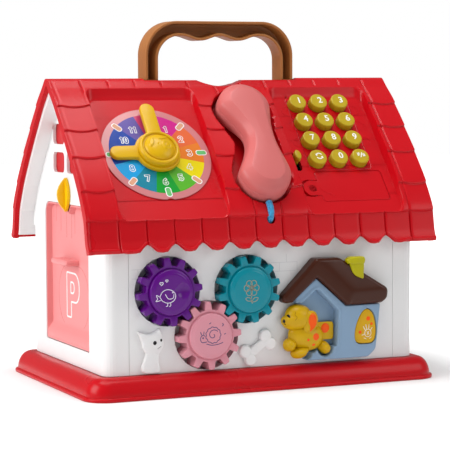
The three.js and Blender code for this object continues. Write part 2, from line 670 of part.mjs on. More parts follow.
function handBar(reach, bottom, direction) {
  const half = clock.handWidth / 2;
  const top = bottom + clock.handThickness - clock.edge;
  const bar = roundedRectangle(-half, half, 0, reach, half * (1 - clock.edge / clock.handWidth));
  const body = alongZ(bar, bottom, top);
  return body.rotate([0, 0, direction]);
}

function hub(radius, bottom) {
  const top = bottom + clock.handThickness;
  return turned([
    [0, bottom], [radius, bottom], [radius, top - clock.edge], [radius - clock.edge, top], [0, top],
  ], 0, 0, fineSides);
}

const quarterDegrees = 90;
const hourHand = hub(clock.hubRadius, hourBottom)
  .add(handBar(clock.hourReach, hourBottom, quarterDegrees))
  .subtract(round(clockBore, hourBottom - overrun, minuteBottom));
const minuteTop = minuteBottom + clock.handThickness;
const domeShares = [[1, 0], [0.94, 0.4], [0.75, 0.75], [0.42, 0.96], [0, 1]];
const dome = turned([
  [0, minuteTop - overrun], [clock.domeRadius, minuteTop - overrun],
  ...domeShares.map(([r, h]) => [r * clock.domeRadius, minuteTop + h * clock.domeHeight]),
], 0, 0, fineSides);
let minuteHand = hub(clock.capRadius, minuteBottom).add(handBar(clock.minuteReach, minuteBottom, 0)).add(dome);
for (const side of [-1, 1]) {
  const ear = new THREE.SphereGeometry(clock.earRadius, arcSteps, arcSteps);
  ear.translate(side * clock.domeRadius / 2, clock.domeRadius / 2, minuteTop + clock.domeHeight / 2);
  minuteHand = minuteHand.add(solid(ear));
}
minuteHand = minuteHand.subtract(round(clockBore, minuteBottom - overrun, minuteTop));
const spindle = round(clock.spindleRadius, keyFlangeTop - clock.flangeThickness, minuteTop - gap)
  .add(round(clock.flangeRadius, keyFlangeTop - clock.flangeThickness, keyFlangeTop));
for (const [name, body, colour] of [
  ['clock_dial', dial, 'dial'], ['clock_spindle', spindle, 'steel'],
  ['hour_hand', hourHand, 'clockYellow'], ['minute_hand', minuteHand, 'clockYellow'],
]) {
  piece(name, body, colour, slope).position.set(clock.x, clock.t, 0);
}

// Telephone handset: two shells closed on each other, round at both ends.
function handsetShell(levels, cavityFrom, cavityTo) {
  const rings = levels.map(([h, grow]) => waistedOutline(grow).map(([x, t]) => [x, t, h]));
  const body = loft(rings);
  const pocketX = [handset.x + handset.mouthShift, handset.x + handset.earShift];
  const pocketT = [mouthT, earT];
  const pocketRadius = handset.earRadius - handset.rounding - handset.shell;
  let result = body;
  for (let i = 0; i < pocketX.length; i += 1) {
    result = result.subtract(round(pocketRadius, cavityFrom, cavityTo, pocketX[i], pocketT[i]));
  }
  return result;
}
const seam = handset.seamHeight;
const topRound = handset.rounding;
let lowerShell = handsetShell([
  [handset.bottom, -topRound], [handset.bottom + topRound / 3, -topRound / 3],
  [handset.bottom + topRound, 0], [seam, 0],
], handset.bottom + topRound / 2 + handset.shell, seam + overrun);
const archRadius = (waistT - mouthT) ** 2 / (2 * handset.waistLift);
lowerShell = lowerShell.subtract(alongX(
  circle(waistT, handset.bottom + handset.waistLift - archRadius, archRadius, 4 * fineSides),
  handset.x - 2 * handset.mouthRadius, handset.x + 2 * handset.mouthRadius));
const upperShell = handsetShell([
  [seam + gap, 0], [handset.top - topRound, -handset.softEdge],
  [handset.top - topRound / 4, -topRound / 2], [handset.top, -topRound],
], seam, handset.top - topRound / 2 - handset.shell);
piece('handset_lower_shell', lowerShell, 'pink', slope);
piece('handset_upper_shell', upperShell, 'pink', slope);
piece('handset_cord', cordTube(cord.radius, 0, cordRoute.length, cord.steps), 'cord');
const [knotX, knotY, knotZ] = cordRoute[cordRoute.length - 1];
const knotShape = new THREE.SphereGeometry(cord.knotRadius, coarseSides, arcSteps + 2);
knotShape.translate(knotX, knotY, knotZ - cord.knotRadius - gap);
piece('cord_knot', solid(knotShape), 'cord');

// Keypad: twelve keys, the silicone mat under them and the circuit board.
const keyNames = ['1', '2', '3', '4', '5', '6', '7', '8', '9', 'repeat', '0', 'mode'];
const keyBody = turned([
  [0, keyBottom], [keypad.flangeRadius, keyBottom], [keypad.flangeRadius, keyFlangeTop],
  [keypad.radius, keyFlangeTop], [keypad.radius, keypad.height - keypad.edge],
  [keypad.radius - keypad.edge, keypad.height], [0, keypad.height],
]);
keyPlaces().forEach(([x, t], i) => {
  piece(`key_${keyNames[i]}`, keyBody, 'keyOlive', slope).position.set(x, t, 0);
});
const matHalfX = keypad.pitchX + keypad.radius;
const matHalfT = keypad.pitchT * (keypad.rows - 1) / 2 + keypad.radius;
piece('keypad_mat', block(
  [keypad.x - matHalfX, keypad.t - matHalfT, membraneTop - keypad.membraneThickness],
  [keypad.x + matHalfX, keypad.t + matHalfT, membraneTop]), 'silicone', slope);
piece('main_board', block(
  [keypad.x - matHalfX - keypad.boardMargin, keypad.t - matHalfT, boardTop - keypad.boardThickness],
  [keypad.x + matHalfX + keypad.boardMargin, keypad.t + matHalfT, boardTop]), 'board', slope);

// Power switch: a lever in a slot, on a plate under the floor.
const leverHead = powerSwitch.slotHead - powerSwitch.play;
const leverFoot = leverHead - powerSwitch.leverLength;
const leverSide = alongX([
  [leverFoot, keyFlangeTop], [leverHead, keyFlangeTop], [leverHead, powerSwitch.leverHeight - powerSwitch.nose],
  [leverHead - powerSwitch.nose, powerSwitch.leverHeight], [leverFoot + powerSwitch.nose, powerSwitch.leverHeight],
  [leverFoot, powerSwitch.leverHeight - powerSwitch.nose],
], powerSwitch.x - powerSwitch.width / 2, powerSwitch.x + powerSwitch.width / 2);
const switchPlate = block(
  [powerSwitch.x - powerSwitch.width / 2 - powerSwitch.plateMargin, leverFoot - powerSwitch.plateMargin,
    keyFlangeTop - powerSwitch.plateThickness],
  [powerSwitch.x + powerSwitch.width / 2 + powerSwitch.plateMargin, leverHead + powerSwitch.travel, keyFlangeTop]);
piece('power_switch', leverSide.add(switchPlate), 'keyOlive', slope);

// Battery compartment: the door with its captive screw, the box and the cells.
const screwSink = -batteryDoor.sinkDepth;
const doorBoss = round(batteryDoor.bossRadius, -batteryDoor.bossDepth, 0, batteryDoor.tabX, batteryDoor.tabT);
const batteryLid = batteryDoorPlate(0, -batteryDoor.thickness, 0).add(doorBoss)
  .subtract(round(batteryDoor.headRadius + batteryDoor.play, screwSink, overrun, batteryDoor.tabX, batteryDoor.tabT))
  .subtract(round(batteryDoor.screwRadius + batteryDoor.play, -batteryDoor.bossDepth - overrun, overrun,
    batteryDoor.tabX, batteryDoor.tabT));
piece('battery_door', batteryLid, 'red', slope);
const screwHeadFoot = screwSink + gap / 2;
const screw = round(batteryDoor.headRadius, screwHeadFoot, screwHeadFoot + batteryDoor.headThickness,
  batteryDoor.tabX, batteryDoor.tabT)
  .add(round(batteryDoor.screwRadius, screwHeadFoot - batteryDoor.screwLength, screwHeadFoot,
    batteryDoor.tabX, batteryDoor.tabT));
piece('battery_door_screw', screw, 'steel', slope);

const boxTop = -panel.floorThickness - gap;
const cellMiddleX = (batteryDoor.low + batteryDoor.high) / 2;
const cellMiddleT = (batteryDoor.foot + batteryDoor.head) / 2;
const boxHalfX = cell.length / 2 + cell.nubLength + cellBox.play;
const boxHalfT = cell.pitch * (cell.count - 1) / 2 + cell.radius + cellBox.play;
const cellHeight = boxTop - cell.radius - cellBox.play;
const boxFloor = cellHeight - cell.radius - cellBox.play;
const boxOutside = block(
  [cellMiddleX - boxHalfX - cellBox.wall, cellMiddleT - boxHalfT - cellBox.wall, boxFloor - cellBox.wall],
  [cellMiddleX + boxHalfX + cellBox.wall, cellMiddleT + boxHalfT + cellBox.wall, boxTop]);
const boxInside = block(
  [cellMiddleX - boxHalfX, cellMiddleT - boxHalfT, boxFloor],
  [cellMiddleX + boxHalfX, cellMiddleT + boxHalfT, boxTop + overrun]);
const bossFoot = -batteryDoor.bossDepth - gap;
const screwEar = round(cellBox.earRadius, screwHeadFoot - batteryDoor.screwLength - overrun, bossFoot,
  batteryDoor.tabX, batteryDoor.tabT)
  .add(block(
    [batteryDoor.tabX, batteryDoor.tabT - cellBox.earRadius / 2, screwHeadFoot - batteryDoor.screwLength - overrun],
    [cellMiddleX - boxHalfX - cellBox.wall / 2, batteryDoor.tabT + cellBox.earRadius / 2, bossFoot]))
  .subtract(round(batteryDoor.screwRadius + gap / 2, screwHeadFoot - batteryDoor.screwLength - 2 * overrun, 0,
    batteryDoor.tabX, batteryDoor.tabT));
piece('battery_box', boxOutside.subtract(boxInside).add(screwEar), 'black', slope);
for (let i = 0; i < cell.count; i += 1) {
  const way = i % 2 === 0 ? 1 : -1;
  const cellCase = round(cell.radius, -cell.length / 2, cell.length / 2)
    .add(round(cell.nubRadius, cell.length / 2 - overrun, cell.length / 2 + cell.nubLength));
  const lying = piece(`battery_cell_${i + 1}`, cellCase, 'cell', slope);
  lying.rotation.y = way * quarterTurn;
  lying.position.set(cellMiddleX, cellMiddleT + (i - (cell.count - 1) / 2) * cell.pitch, cellHeight);
}

// Base tray: a rounded skirt with a lip, hollow inside, closed flat underneath.
function baseRing(inset, height) {
  const radius = Math.max(baseCornerRadius - inset, wall);
  return roundedRectangle(
    -baseHalf + inset, baseHalf - inset, -baseHalfDepth + inset, baseHalfDepth - inset, radius)
    .map(([x, y]) => [x, y, height]);
}

function baseSkirt(skin, foot, head) {
  const insetTop = baseEndMargin - base.topMargin;
  const rings = [];
  for (let i = 0; i <= base.steps; i += 1) {
    const angle = quarterTurn * i / base.steps;
    const inset = base.lipStep + (insetTop - base.lipStep) * (1 - Math.cos(angle));
    const height = base.lipHeight + (baseHeight - base.lipHeight) * Math.sin(angle);
    rings.push(baseRing(inset + skin, Math.min(Math.max(height - skin, foot), head)));
  }
  return rings;
}
const skirtOutside = loft([
  baseRing(base.lipEdge, 0), baseRing(0, base.lipEdge), baseRing(0, base.lipHeight - base.lipEdge),
  ...baseSkirt(0, base.lipHeight, baseHeight),
]);
const skirtInside = loft([
  baseRing(base.lipStep + base.skin, base.floor), ...baseSkirt(base.skin, base.floor + gap, baseHeight - base.skin),
]);
const mouth = alongZ(roundedRectangle(
  -houseHalf + base.ledgeWidth, houseHalf - base.ledgeWidth,
  -houseHalfDepth + base.ledgeWidth, houseHalfDepth - base.ledgeWidth, wallCornerRadius - wall),
baseHeight - base.skin - overrun, baseHeight + overrun);
const wellRoom = inPlace(
  round(gear.wellRadius + gear.wellSkin + gap, -gear.wellDepth - gear.wellSkin - gap, -wall, ...pinkGear, fineSides), front);
piece('base_tray', skirtOutside.subtract(skirtInside).subtract(mouth).subtract(wellRoom), 'red');

// End walls: each wraps round its two corners to the seams with the front and rear panels,
// rises into the gable and flares into the soffit under the roof's rim.
const seamX = houseHalf - seamInset + gap;
function endWall(side) {
  const outside = roundedRectangle(-houseHalf, houseHalf, -houseHalfDepth, houseHalfDepth, wallCornerRadius);
  const inside = roundedRectangle(
    -houseHalf + wall, houseHalf - wall, -houseHalfDepth + wall, houseHalfDepth - wall, wallCornerRadius - wall);
  const ring = alongZ(outside, wallFoot, wallTop).subtract(alongZ(inside, wallFoot - overrun, wallTop + overrun));
  const half = side < 0
    ? block([-roofHalf, -lipHalfDepth, 0], [-seamX, lipHalfDepth, ridgeHeight])
    : block([seamX, -lipHalfDepth, 0], [roofHalf, lipHalfDepth, ridgeHeight]);
  const roofUnder = roofLineInside(soffit.inset);
  const gableLine = [[0, roofUnder[0][1]]];
  for (const [y, z] of roofUnder.slice(1)) {
    gableLine.push([Math.max(y, -houseHalfDepth + wallCornerRadius), z]);
  }
  const plate = [...gableLine, ...mirrored(gableLine).slice(0, -1)].filter(([, z]) => z > wallTop);
  plate.push([houseHalfDepth - wallCornerRadius, wallFoot], [-houseHalfDepth + wallCornerRadius, wallFoot]);
  plate.sort((a, b) => Math.atan2(a[1] - wallTop, a[0]) - Math.atan2(b[1] - wallTop, b[0]));
  const plateFrom = side < 0 ? -houseHalf : houseHalf - wall;
  const shoulder = roofBandSolid(soffit.inset, plateFrom, plateFrom + wall);
  const skirt = block([plateFrom, -houseHalfDepth, wallTop - overrun], [plateFrom + wall, houseHalfDepth, ridgeHeight]);
  const flareFrom = side < 0 ? -houseHalf - soffit.reach : houseHalf - wall;
  const flare = roofBand(soffit.inset, soffit.inset + soffit.thickness,
    flareFrom, flareFrom + soffit.reach + wall, eaveLow + soffit.rise);
  return ring.intersect(half)
    .add(alongX([
      [-houseHalfDepth + wallCornerRadius, wallFoot], [houseHalfDepth - wallCornerRadius, wallFoot],
      [houseHalfDepth - wallCornerRadius, wallTop], [-houseHalfDepth + wallCornerRadius, wallTop],
    ], plateFrom, plateFrom + wall))
    .add(shoulder.intersect(skirt))
    .add(flare);
}

// Everything under a line inside the roof, down to the eave.
function roofBandSolid(inset, from, to) {
  const under = roofLineInside(inset);
  return alongX([...under, ...mirrored(under).slice(0, -1)], from, to);
}

let leftWall = endWall(-1);
const doorHole = roundedRectangle(
  -door.halfWidth, door.halfWidth, door.foot, door.head, door.footRadius);
const doorTop = roundedRectangle(-door.halfWidth, door.halfWidth, door.foot, door.head, door.cornerRadius);
const wallCut = -wall - overrun;
const doorHoleLow = alongZ(doorHole, wallCut, overrun).intersect(block(
  [-door.halfWidth, door.foot, wallCut], [door.halfWidth, door.head - door.cornerRadius, overrun]));
let gableCuts = doorHoleLow.add(alongZ(doorTop, wallCut, overrun).intersect(block(
  [-door.halfWidth, door.foot + door.cornerRadius, wallCut], [door.halfWidth, door.head, overrun])));
for (const side of [-1, 1]) {
  const from = side < 0 ? -pane.outer : pane.inner;
  const to = side < 0 ? -pane.inner : pane.outer;
  for (const [foot, head] of paneRows) {
    gableCuts = gableCuts.add(alongZ(roundedRectangle(from, to, foot, head, pane.radius), wallCut, overrun));
  }
}
gableCuts = gableCuts.add(round(latch.shaftRadius + latch.play, wallCut, overrun, latch.across, latchUp));
leftWall = leftWall.subtract(inPlace(gableCuts, gable));
piece('left_end_wall', leftWall, 'white');
piece('right_end_wall', endWall(1), 'white');

const paneBack = -wall - gap - pane.backThickness;
piece('window_backing', alongZ(roundedRectangle(
  -pane.outer - pane.backMargin, pane.outer + pane.backMargin,
  paneRows[0][0] - pane.backMargin, paneRows[1][1], pane.radius),
paneBack, paneBack + pane.backThickness), 'red', gable);

// A pointed oval, upright, on the gable: the catch, and the bite that it stands in.
function lensBody(grow, from, to) {
  const radius = (latch.halfHeight ** 2 + latch.halfWidth ** 2) / (2 * latch.halfWidth);
  const shift = radius - latch.halfWidth;
  return round(radius + grow, from, to, shift, 0, 2 * fineSides)
    .intersect(round(radius + grow, from, to, -shift, 0, 2 * fineSides));
}

// Garage door: a dished panel on a rod along its foot, with a bite for the catch's end.
const doorFoot = door.foot + door.play;
const pivotUp = doorFoot + door.knuckleRadius;
const doorBack = -door.thickness - gap;
function sideCylinder(radius, from, to) {
  return alongX(circle(pivotUp, -door.pivotDepth, radius, coarseSides), from, to);
}
const doorSide = door.halfWidth - door.play;
let garageDoor = alongZ(roundedRectangle(
  -doorSide, doorSide, pivotUp - door.cornerRadius * 2, door.head - door.play, door.cornerRadius - door.play),
doorBack, -gap);
garageDoor = garageDoor.intersect(block([-doorSide, pivotUp, doorBack], [doorSide, door.head, 0]));
garageDoor = garageDoor.add(sideCylinder(door.knuckleRadius, -doorSide, doorSide));
garageDoor = garageDoor.subtract(alongZ(roundedRectangle(
  -doorSide + door.rim, doorSide - door.rim, pivotUp + door.rim, door.head - door.play - door.rim,
  door.cornerRadius - door.rim), -door.dish, overrun));
garageDoor = garageDoor.add(block(
  [door.ledgeLow, door.ledgeFoot, -door.dish - overrun], [door.ledgeHigh, door.ledgeHead, door.ledgeReach]));
garageDoor = garageDoor.subtract(lensBody(latch.bitePlay, doorBack - overrun, overrun)
  .translate([latch.across, latchUp, 0]));
garageDoor = garageDoor.subtract(sideCylinder(door.rodRadius + door.rodPlay, -doorSide - overrun, doorSide + overrun));
piece('garage_door', garageDoor, 'doorPink', gable);

const bayHalf = door.halfWidth + bay.clearance;
piece('door_hinge_rod', sideCylinder(door.rodRadius, -bayHalf - bay.wall, bayHalf + bay.wall), 'steel', gable);

// Catch: the pointed oval with a finger fin, on a shaft through the wall.
let catchKnob = lensBody(0, gap, gap + latch.thickness);
const fin = [];
for (let i = 0; i <= latch.finSteps; i += 1) {
  const share = 2 * i / latch.finSteps - 1;
  fin.push([share * (latch.halfHeight - gap), latch.thickness + latch.finReach * (1 - share * share)]);
}
catchKnob = catchKnob.add(alongX(fin, -latch.finHalfThickness, latch.finHalfThickness));
catchKnob = catchKnob.add(round(latch.shaftRadius, -wall - gap - latch.washerThickness, gap + latch.thickness / 2));
catchKnob = catchKnob.add(round(latch.washerRadius, -wall - gap - latch.washerThickness, -wall - gap));
piece('door_catch', catchKnob, 'clockYellow', gable).position.set(latch.across, latchUp, 0);

// Garage bay: a box behind the door that keeps toys out of the works.
const bayFront = -wall - gap;
const bayFoot = door.foot - gap;
const bayHead = door.head + gap;
const bayOutside = block(
  [-bayHalf - bay.wall, bayFoot - bay.wall, bayFront - bay.depth], [bayHalf + bay.wall, bayHead + bay.wall, bayFront]);
const bayInside = block([-bayHalf, bayFoot, bayFront - bay.depth + bay.wall], [bayHalf, bayHead, 0]);
const baySlit = sideCylinder(door.rodRadius + door.rodPlay / 2, -bayHalf - bay.wall - overrun, bayHalf + bay.wall + overrun);
piece('garage_bay', bayOutside.subtract(bayInside).subtract(baySlit), 'white', gable);

// Front panel with three merged gear wells, and the cat and the bone in low relief.
const panelBack = -wall;
function onFront(points, from, to) {
  return alongZ(points, from, to);
}
function gearCentre(direction) {
  const length = Math.hypot(direction[0], direction[1]);
  const reach = 2 * gear.pitchRadius / length;
  return [pinkGear[0] + direction[0] * reach, pinkGear[1] + direction[1] * reach];
}
const purpleGear = gearCentre(purpleDirection);
const tealGear = gearCentre(tealDirection);
const gearPlaces = [purpleGear, pinkGear, tealGear];
const frontHalf = houseHalf - seamInset;
let frontPanel = block([-frontHalf, wallFoot, panelBack], [frontHalf, wallTop, 0]);
for (const [x, z] of gearPlaces) {
  frontPanel = frontPanel.add(round(gear.wellRadius + gear.wellSkin, -gear.wellDepth - gear.wellSkin, 0, x, z, fineSides));
}
frontPanel = frontPanel.intersect(block(
  [-frontHalf, wallFoot, -gear.wellDepth - gear.wellSkin], [frontHalf, wallTop, 0]));
for (const [x, z] of gearPlaces) {
  frontPanel = frontPanel.subtract(round(gear.wellRadius, -gear.wellDepth, overrun, x, z, fineSides));
}
for (const [x, z] of gearPlaces) {
  frontPanel = frontPanel.subtract(round(gear.axleRadius + gap / 2, -gear.wellDepth - gear.wellSkin - overrun, 0, x, z));
}
const catShares = [
  [0.16, 0.035], [0.28, 0], [0.76, 0], [0.88, 0.03], [0.86, 0.12], [0.79, 0.25], [0.795, 0.376], [0.876, 0.46],
  [0.98, 0.62], [0.98, 0.75], [0.95, 0.86], [0.84, 1], [0.676, 0.935], [0.52, 0.89], [0.352, 0.888], [0.005, 0.947],
  [0.16, 0.7], [0.17, 0.59], [0.32, 0.45], [0.24, 0.3], [0.14, 0.15],
];
frontPanel = frontPanel.add(onFront(
  catShares.map(([x, z]) => [cat.x - cat.width / 2 + x * cat.width, cat.z + z * cat.height]), panelBack, relief.height));
const boneAngle = Math.atan2(bone.high[1] - bone.low[1], bone.high[0] - bone.low[0]);
for (const [x, z] of [bone.low, bone.high]) {
  for (const side of [-1, 1]) {
    frontPanel = frontPanel.add(round(bone.knobRadius, panelBack, relief.height,
      x - side * bone.knobSpread * Math.sin(boneAngle), z + side * bone.knobSpread * Math.cos(boneAngle)));
  }
}
const boneLength = Math.hypot(bone.high[0] - bone.low[0], bone.high[1] - bone.low[1]);
const boneBar = block([0, -bone.barHalf, panelBack], [boneLength, bone.barHalf, relief.height * relief.reach]);
const degreesPerTurn = 360;
frontPanel = frontPanel.add(
  boneBar.rotate([0, 0, boneAngle / fullTurn * degreesPerTurn]).translate([bone.low[0], bone.low[1], 0]));
piece('front_panel', frontPanel, 'white', front);

// Gears: twelve teeth each, placed so that a tooth of one meets a gap of the next.
function gearOutline(phase) {
  const points = [];
  const step = fullTurn / gear.teeth;
  for (let i = 0; i < gear.teeth; i += 1) {
    const middle = phase + i * step;
    points.push(polar(gear.rootRadius, middle - gear.rootHalfShare * step));
    points.push(polar(gear.tipRadius, middle - gear.tipHalfShare * step));
    points.push(polar(gear.tipRadius, middle + gear.tipHalfShare * step));
    points.push(polar(gear.rootRadius, middle + gear.rootHalfShare * step));
  }
  return points;
}
function polar(radius, angle) {
  return [radius * Math.cos(angle), radius * Math.sin(angle)];
}
function meshedPhase(direction, phase) {
  const step = fullTurn / gear.teeth;
  const line = Math.atan2(direction[1], direction[0]);
  return 2 * line + 2 * quarterTurn - phase + step / 2;
}
const pinkPhase = gear.phase / degreesPerTurn * fullTurn;
const gearSet = [
  ['purple', purpleGear, meshedPhase(purpleDirection, pinkPhase), 'purple'],
  ['pink', pinkGear, pinkPhase, 'gearPink'],
  ['teal', tealGear, meshedPhase(tealDirection, pinkPhase), 'teal'],
];
for (const [name, [x, z], phase, colour] of gearSet) {
  let wheel = alongZ(gearOutline(phase), gear.back, gear.face);
  wheel = wheel.add(turned([
    [0, gear.back], [gear.capRadius, gear.back], [gear.capRadius, gear.capFace - gear.capEdge],
    [gear.capRadius - gear.capEdge, gear.capFace], [0, gear.capFace],
  ], 0, 0, fineSides));
  wheel = wheel.subtract(round(gear.boreRadius, gear.back - overrun, gear.boreEnd));
  if (name === 'purple') {
    wheel = wheel.subtract(round(gear.dimpleRadius, gear.capFace - gear.dimpleDepth, gear.capFace + overrun,
      gear.dimpleOffset, 0));
  }
  piece(`gear_${name}`, wheel, colour, front).position.set(x, z, 0);
  const axleBack = -gear.wellDepth - gear.wellSkin - gap;
  const axle = round(gear.axleRadius, axleBack - gear.axleHeadThickness, gear.axleEnd)
    .add(round(gear.axleHeadRadius, axleBack - gear.axleHeadThickness, axleBack));
  piece(`gear_axle_${name}`, axle, 'steel', front).position.set(x, z, 0);
}

// Kennel: a blue front in relief with a brown roof, a chimney, a puppy and a paw button.
const kennelCorner = kennel.cornerX;
function kennelSlab(outlinePoints, back, leftFace, cornerFace, rightFace) {
  const plan = [
    [kennel.left - kennel.right, -back], [kennel.left - kennel.right, -leftFace],
    [kennel.left, -leftFace], [kennelCorner, -cornerFace], [kennel.right, -rightFace],
    [2 * kennel.right, -rightFace], [2 * kennel.right, -back],
  ];
  const geometry = extrude(outline(plan), wallTop);
  geometry.rotateX(-quarterTurn);
  return alongZ(outlinePoints, back, cornerFace + overrun).intersect(solid(geometry));
}
const kennelSpanX = kennel.right + kennel.fit - kennel.left;
const kennelShare = ([x, z]) => [kennel.left + x * kennelSpanX, z * kennel.ridgeZ];
const kennelRoofShares = [
  [-0.033, 0.692], [0.011, 0.637], [0.099, 0.647], [0.34, 0.862], [0.603, 0.634], [0.628, 0.621],
  [0.93, 0.637], [1.033, 0.681], [1.035, 0.73], [1, 0.772], [0.58, 1], [0.328, 0.998],
];
const kennelWallShares = [
  [0.14, 0.6], [0.14, 0.656], [0.34, 0.834], [0.594, 0.614], [0.628, 0.607], [0.93, 0.622], [0.948, 0.626],
  [0.896, 0.266], [0.785, 0.196], [0.25, 0.2], [0.14, 0.27],
];
const roofPoints = kennelRoofShares.map(kennelShare);
const wallPoints = kennelWallShares.map(kennelShare);
const doorwayShares = [[-0.1, 0.3], [0.518, 0.3], [0.537, 0.577], [0.328, 0.766], [0.16, 0.62], [-0.1, 0.62]];
const doorwayPoints = doorwayShares.map(kennelShare);

function pawOutline(grow) {
  const points = [];
  for (let i = 0; i < fineSides; i += 1) {
    const angle = fullTurn * i / fineSides;
    const width = (paw.halfWidth + grow) * (1 - paw.taper * Math.sin(angle));
    points.push([paw.x + width * Math.cos(angle), paw.z + (paw.halfHeight + grow) * Math.sin(angle)]);
  }
  return points;
}

// The puppy's rounded parts: a ball flattened along the wall's normal.
function ball(x, z, halfWidth, halfHeight, reach) {
  const shape = new THREE.SphereGeometry(1, coarseSides, arcSteps + 2);
  shape.rotateX(quarterTurn);
  shape.scale(halfWidth, halfHeight, reach);
  shape.translate(x, z, 0);
  return solid(shape);
}

// Each rounded part: middle x and z, half width, half height, share of the full depth.
const puppyParts = [
  [puppy.headX, puppy.headZ, puppy.headRadius, puppy.headRadius, 1],
  [puppy.snoutX, puppy.snoutZ, puppy.snoutRadius, puppy.snoutRadius, puppy.snoutShare],
  [puppy.earX, puppy.earZ, puppy.earHalfWidth, puppy.earHalfHeight, 1],
  [puppy.bodyX, puppy.bodyZ, puppy.bodyHalfWidth, puppy.bodyHalfHeight, puppy.bodyShare],
  [puppy.leftPawX, puppy.leftPawZ, puppy.pawRadius, puppy.pawRadius, puppy.pawShare],
  [puppy.rightPawX, puppy.rightPawZ, puppy.pawRadius, puppy.pawRadius, puppy.pawShare],
  [puppy.frontPawX, puppy.frontPawZ, puppy.frontPawWidth, puppy.frontPawHeight, puppy.pawShare],
];
const puppyPlinth = roundedRectangle(
  puppy.leftPawX, puppy.rightPawX, puppy.leftPawZ, puppy.bodyZ + 3 * puppy.bodyHalfHeight / 4, puppy.pawRadius);

function buildPuppy() {
  const reach = puppy.face - puppy.back;
  const half = block([-frontHalf, 0, 0], [frontHalf, wallTop, puppy.face]);
  let body = alongZ(puppyPlinth, 0, overrun);
  for (const [x, z, halfWidth, halfHeight, share] of puppyParts) {
    body = body.add(ball(x, z, halfWidth, halfHeight, reach * share).intersect(half));
  }
  return body.translate([0, 0, puppy.back]).add(block(
    [puppy.boardLow, puppy.boardFoot, puppy.back], [puppy.boardHigh, puppy.boardHead, puppy.boardFace]));
}

// The room that the puppy needs, from the doorway's back outward, to be pushed in.
function puppyRoom(grow) {
  const from = kennel.recessFloor;
  const to = kennel.roofFace + overrun;
  let room = alongZ(puppyPlinth, from, puppy.face);
  for (const [x, z, halfWidth, halfHeight] of puppyParts) {
    const points = circle(0, 0, 1, coarseSides).map(([u, v]) => [
      x + u * (halfWidth + grow), z + v * (halfHeight + grow)]);
    room = room.add(alongZ(points, from, to));
  }
  return room;
}

let kennelWalls = kennelSlab(wallPoints, gap, kennel.wallSide, kennel.wallFace, kennel.wallEnd);
kennelWalls = kennelWalls.subtract(alongZ(doorwayPoints, kennel.recessFloor, kennel.roofFace));
kennelWalls = kennelWalls.subtract(alongZ(pawOutline(paw.play), 0, kennel.roofFace));
const pawFlangeTop = paw.travel + paw.flangeThickness + 2 * gap;
kennelWalls = kennelWalls.subtract(alongZ(pawOutline(paw.flange + paw.play), 0, pawFlangeTop + gap));
kennelWalls = kennelWalls.subtract(puppyRoom(kennel.headFit));
piece('kennel_walls', kennelWalls, 'kennelBlue', front);

const chimneyPoints = [
  [chimney.capLow, chimney.capFoot], [chimney.stemLow, chimney.capFoot],
  [chimney.stemLow + (chimney.stemHigh - chimney.stemLow) / 4, (chimney.capFoot + chimney.foot) / 2],
  [chimney.stemHigh, chimney.foot], [chimney.stemHigh, chimney.capFoot], [chimney.capHigh, chimney.capFoot],
  [chimney.capHigh, chimney.capHead], [chimney.capLow, chimney.capHead],
];
const chimneyHole = offsetClosed(chimneyPoints, gap);
function offsetClosed(points, distance) {
  const ring = [points[points.length - 1], ...points, points[0]];
  return offsetLine(ring, distance).slice(1, -1);
}
let kennelRoof = kennelSlab(roofPoints, gap, kennel.roofSide, kennel.roofFace, kennel.roofEnd);
kennelRoof = kennelRoof.subtract(puppyRoom(kennel.headFit));
kennelRoof = kennelRoof.subtract(alongZ(chimneyHole, chimney.back - gap, kennel.roofFace + 2 * overrun));
piece('kennel_roof', kennelRoof, 'roofBrown', front);
piece('kennel_chimney', alongZ(chimneyPoints, chimney.back, chimney.face), 'lime', front);
piece('puppy', buildPuppy(), 'dogYellow', front);
const pawFace = kennel.wallEnd + paw.proud;
const pawButton = alongZ(pawOutline(0), pawFlangeTop - paw.flangeThickness, pawFace)
  .add(alongZ(pawOutline(paw.flange), pawFlangeTop - paw.flangeThickness, pawFlangeTop));
piece('paw_button', pawButton, 'dogYellow', front);

// Rear panel with the sound slots, and the loudspeaker behind them.
let rearPanel = block(
  [-frontHalf, houseHalfDepth - wall, wallFoot], [frontHalf, houseHalfDepth, wallTop]);
for (let i = 0; i < speaker.slotCount; i += 1) {
  const z = speaker.z + (i - (speaker.slotCount - 1) / 2) * speaker.slotPitch;
  const half = Math.sqrt(speaker.radius ** 2 - (z - speaker.z) ** 2) - speaker.ringSkin - speaker.slotWidth;
  rearPanel = rearPanel.subtract(block(
    [speaker.x - half, houseHalfDepth - wall - overrun, z - speaker.slotWidth / 2],
    [speaker.x + half, houseHalfDepth + overrun, z + speaker.slotWidth / 2]));
}
const speakerRing = alongY(circle(speaker.x, speaker.z, speaker.radius + gap + speaker.ringSkin),
  houseHalfDepth - wall - speaker.ringHeight, houseHalfDepth - wall)
  .subtract(alongY(circle(speaker.x, speaker.z, speaker.radius + gap),
    houseHalfDepth - wall - speaker.ringHeight - overrun, houseHalfDepth - wall + overrun));
piece('rear_panel', rearPanel.add(speakerRing.subtract(block(
  [-frontHalf, houseHalfDepth - wall, 0], [frontHalf, houseHalfDepth, wallTop]))), 'white');
const speakerFront = houseHalfDepth - wall - gap;
const speakerBody = alongY(circle(speaker.x, speaker.z, speaker.radius), speakerFront - speaker.frameThickness, speakerFront)
  .add(alongY(circle(speaker.x, speaker.z, speaker.magnetRadius, coarseSides),
    speakerFront - speaker.depth, speakerFront - speaker.frameThickness));
piece('speaker', speakerBody, 'black');

export default house;
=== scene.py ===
"""Looks for the activity house: a red-roofed toy house with a play clock, a telephone,
a keypad, gears, a kennel and a garage door. Sizes are in millimetres, and a mesh is
brought to metres where it is made."""

import bmesh
import bpy
import numpy as np
from mathutils import Matrix, Vector
from mathutils.geometry import delaunay_2d_cdt


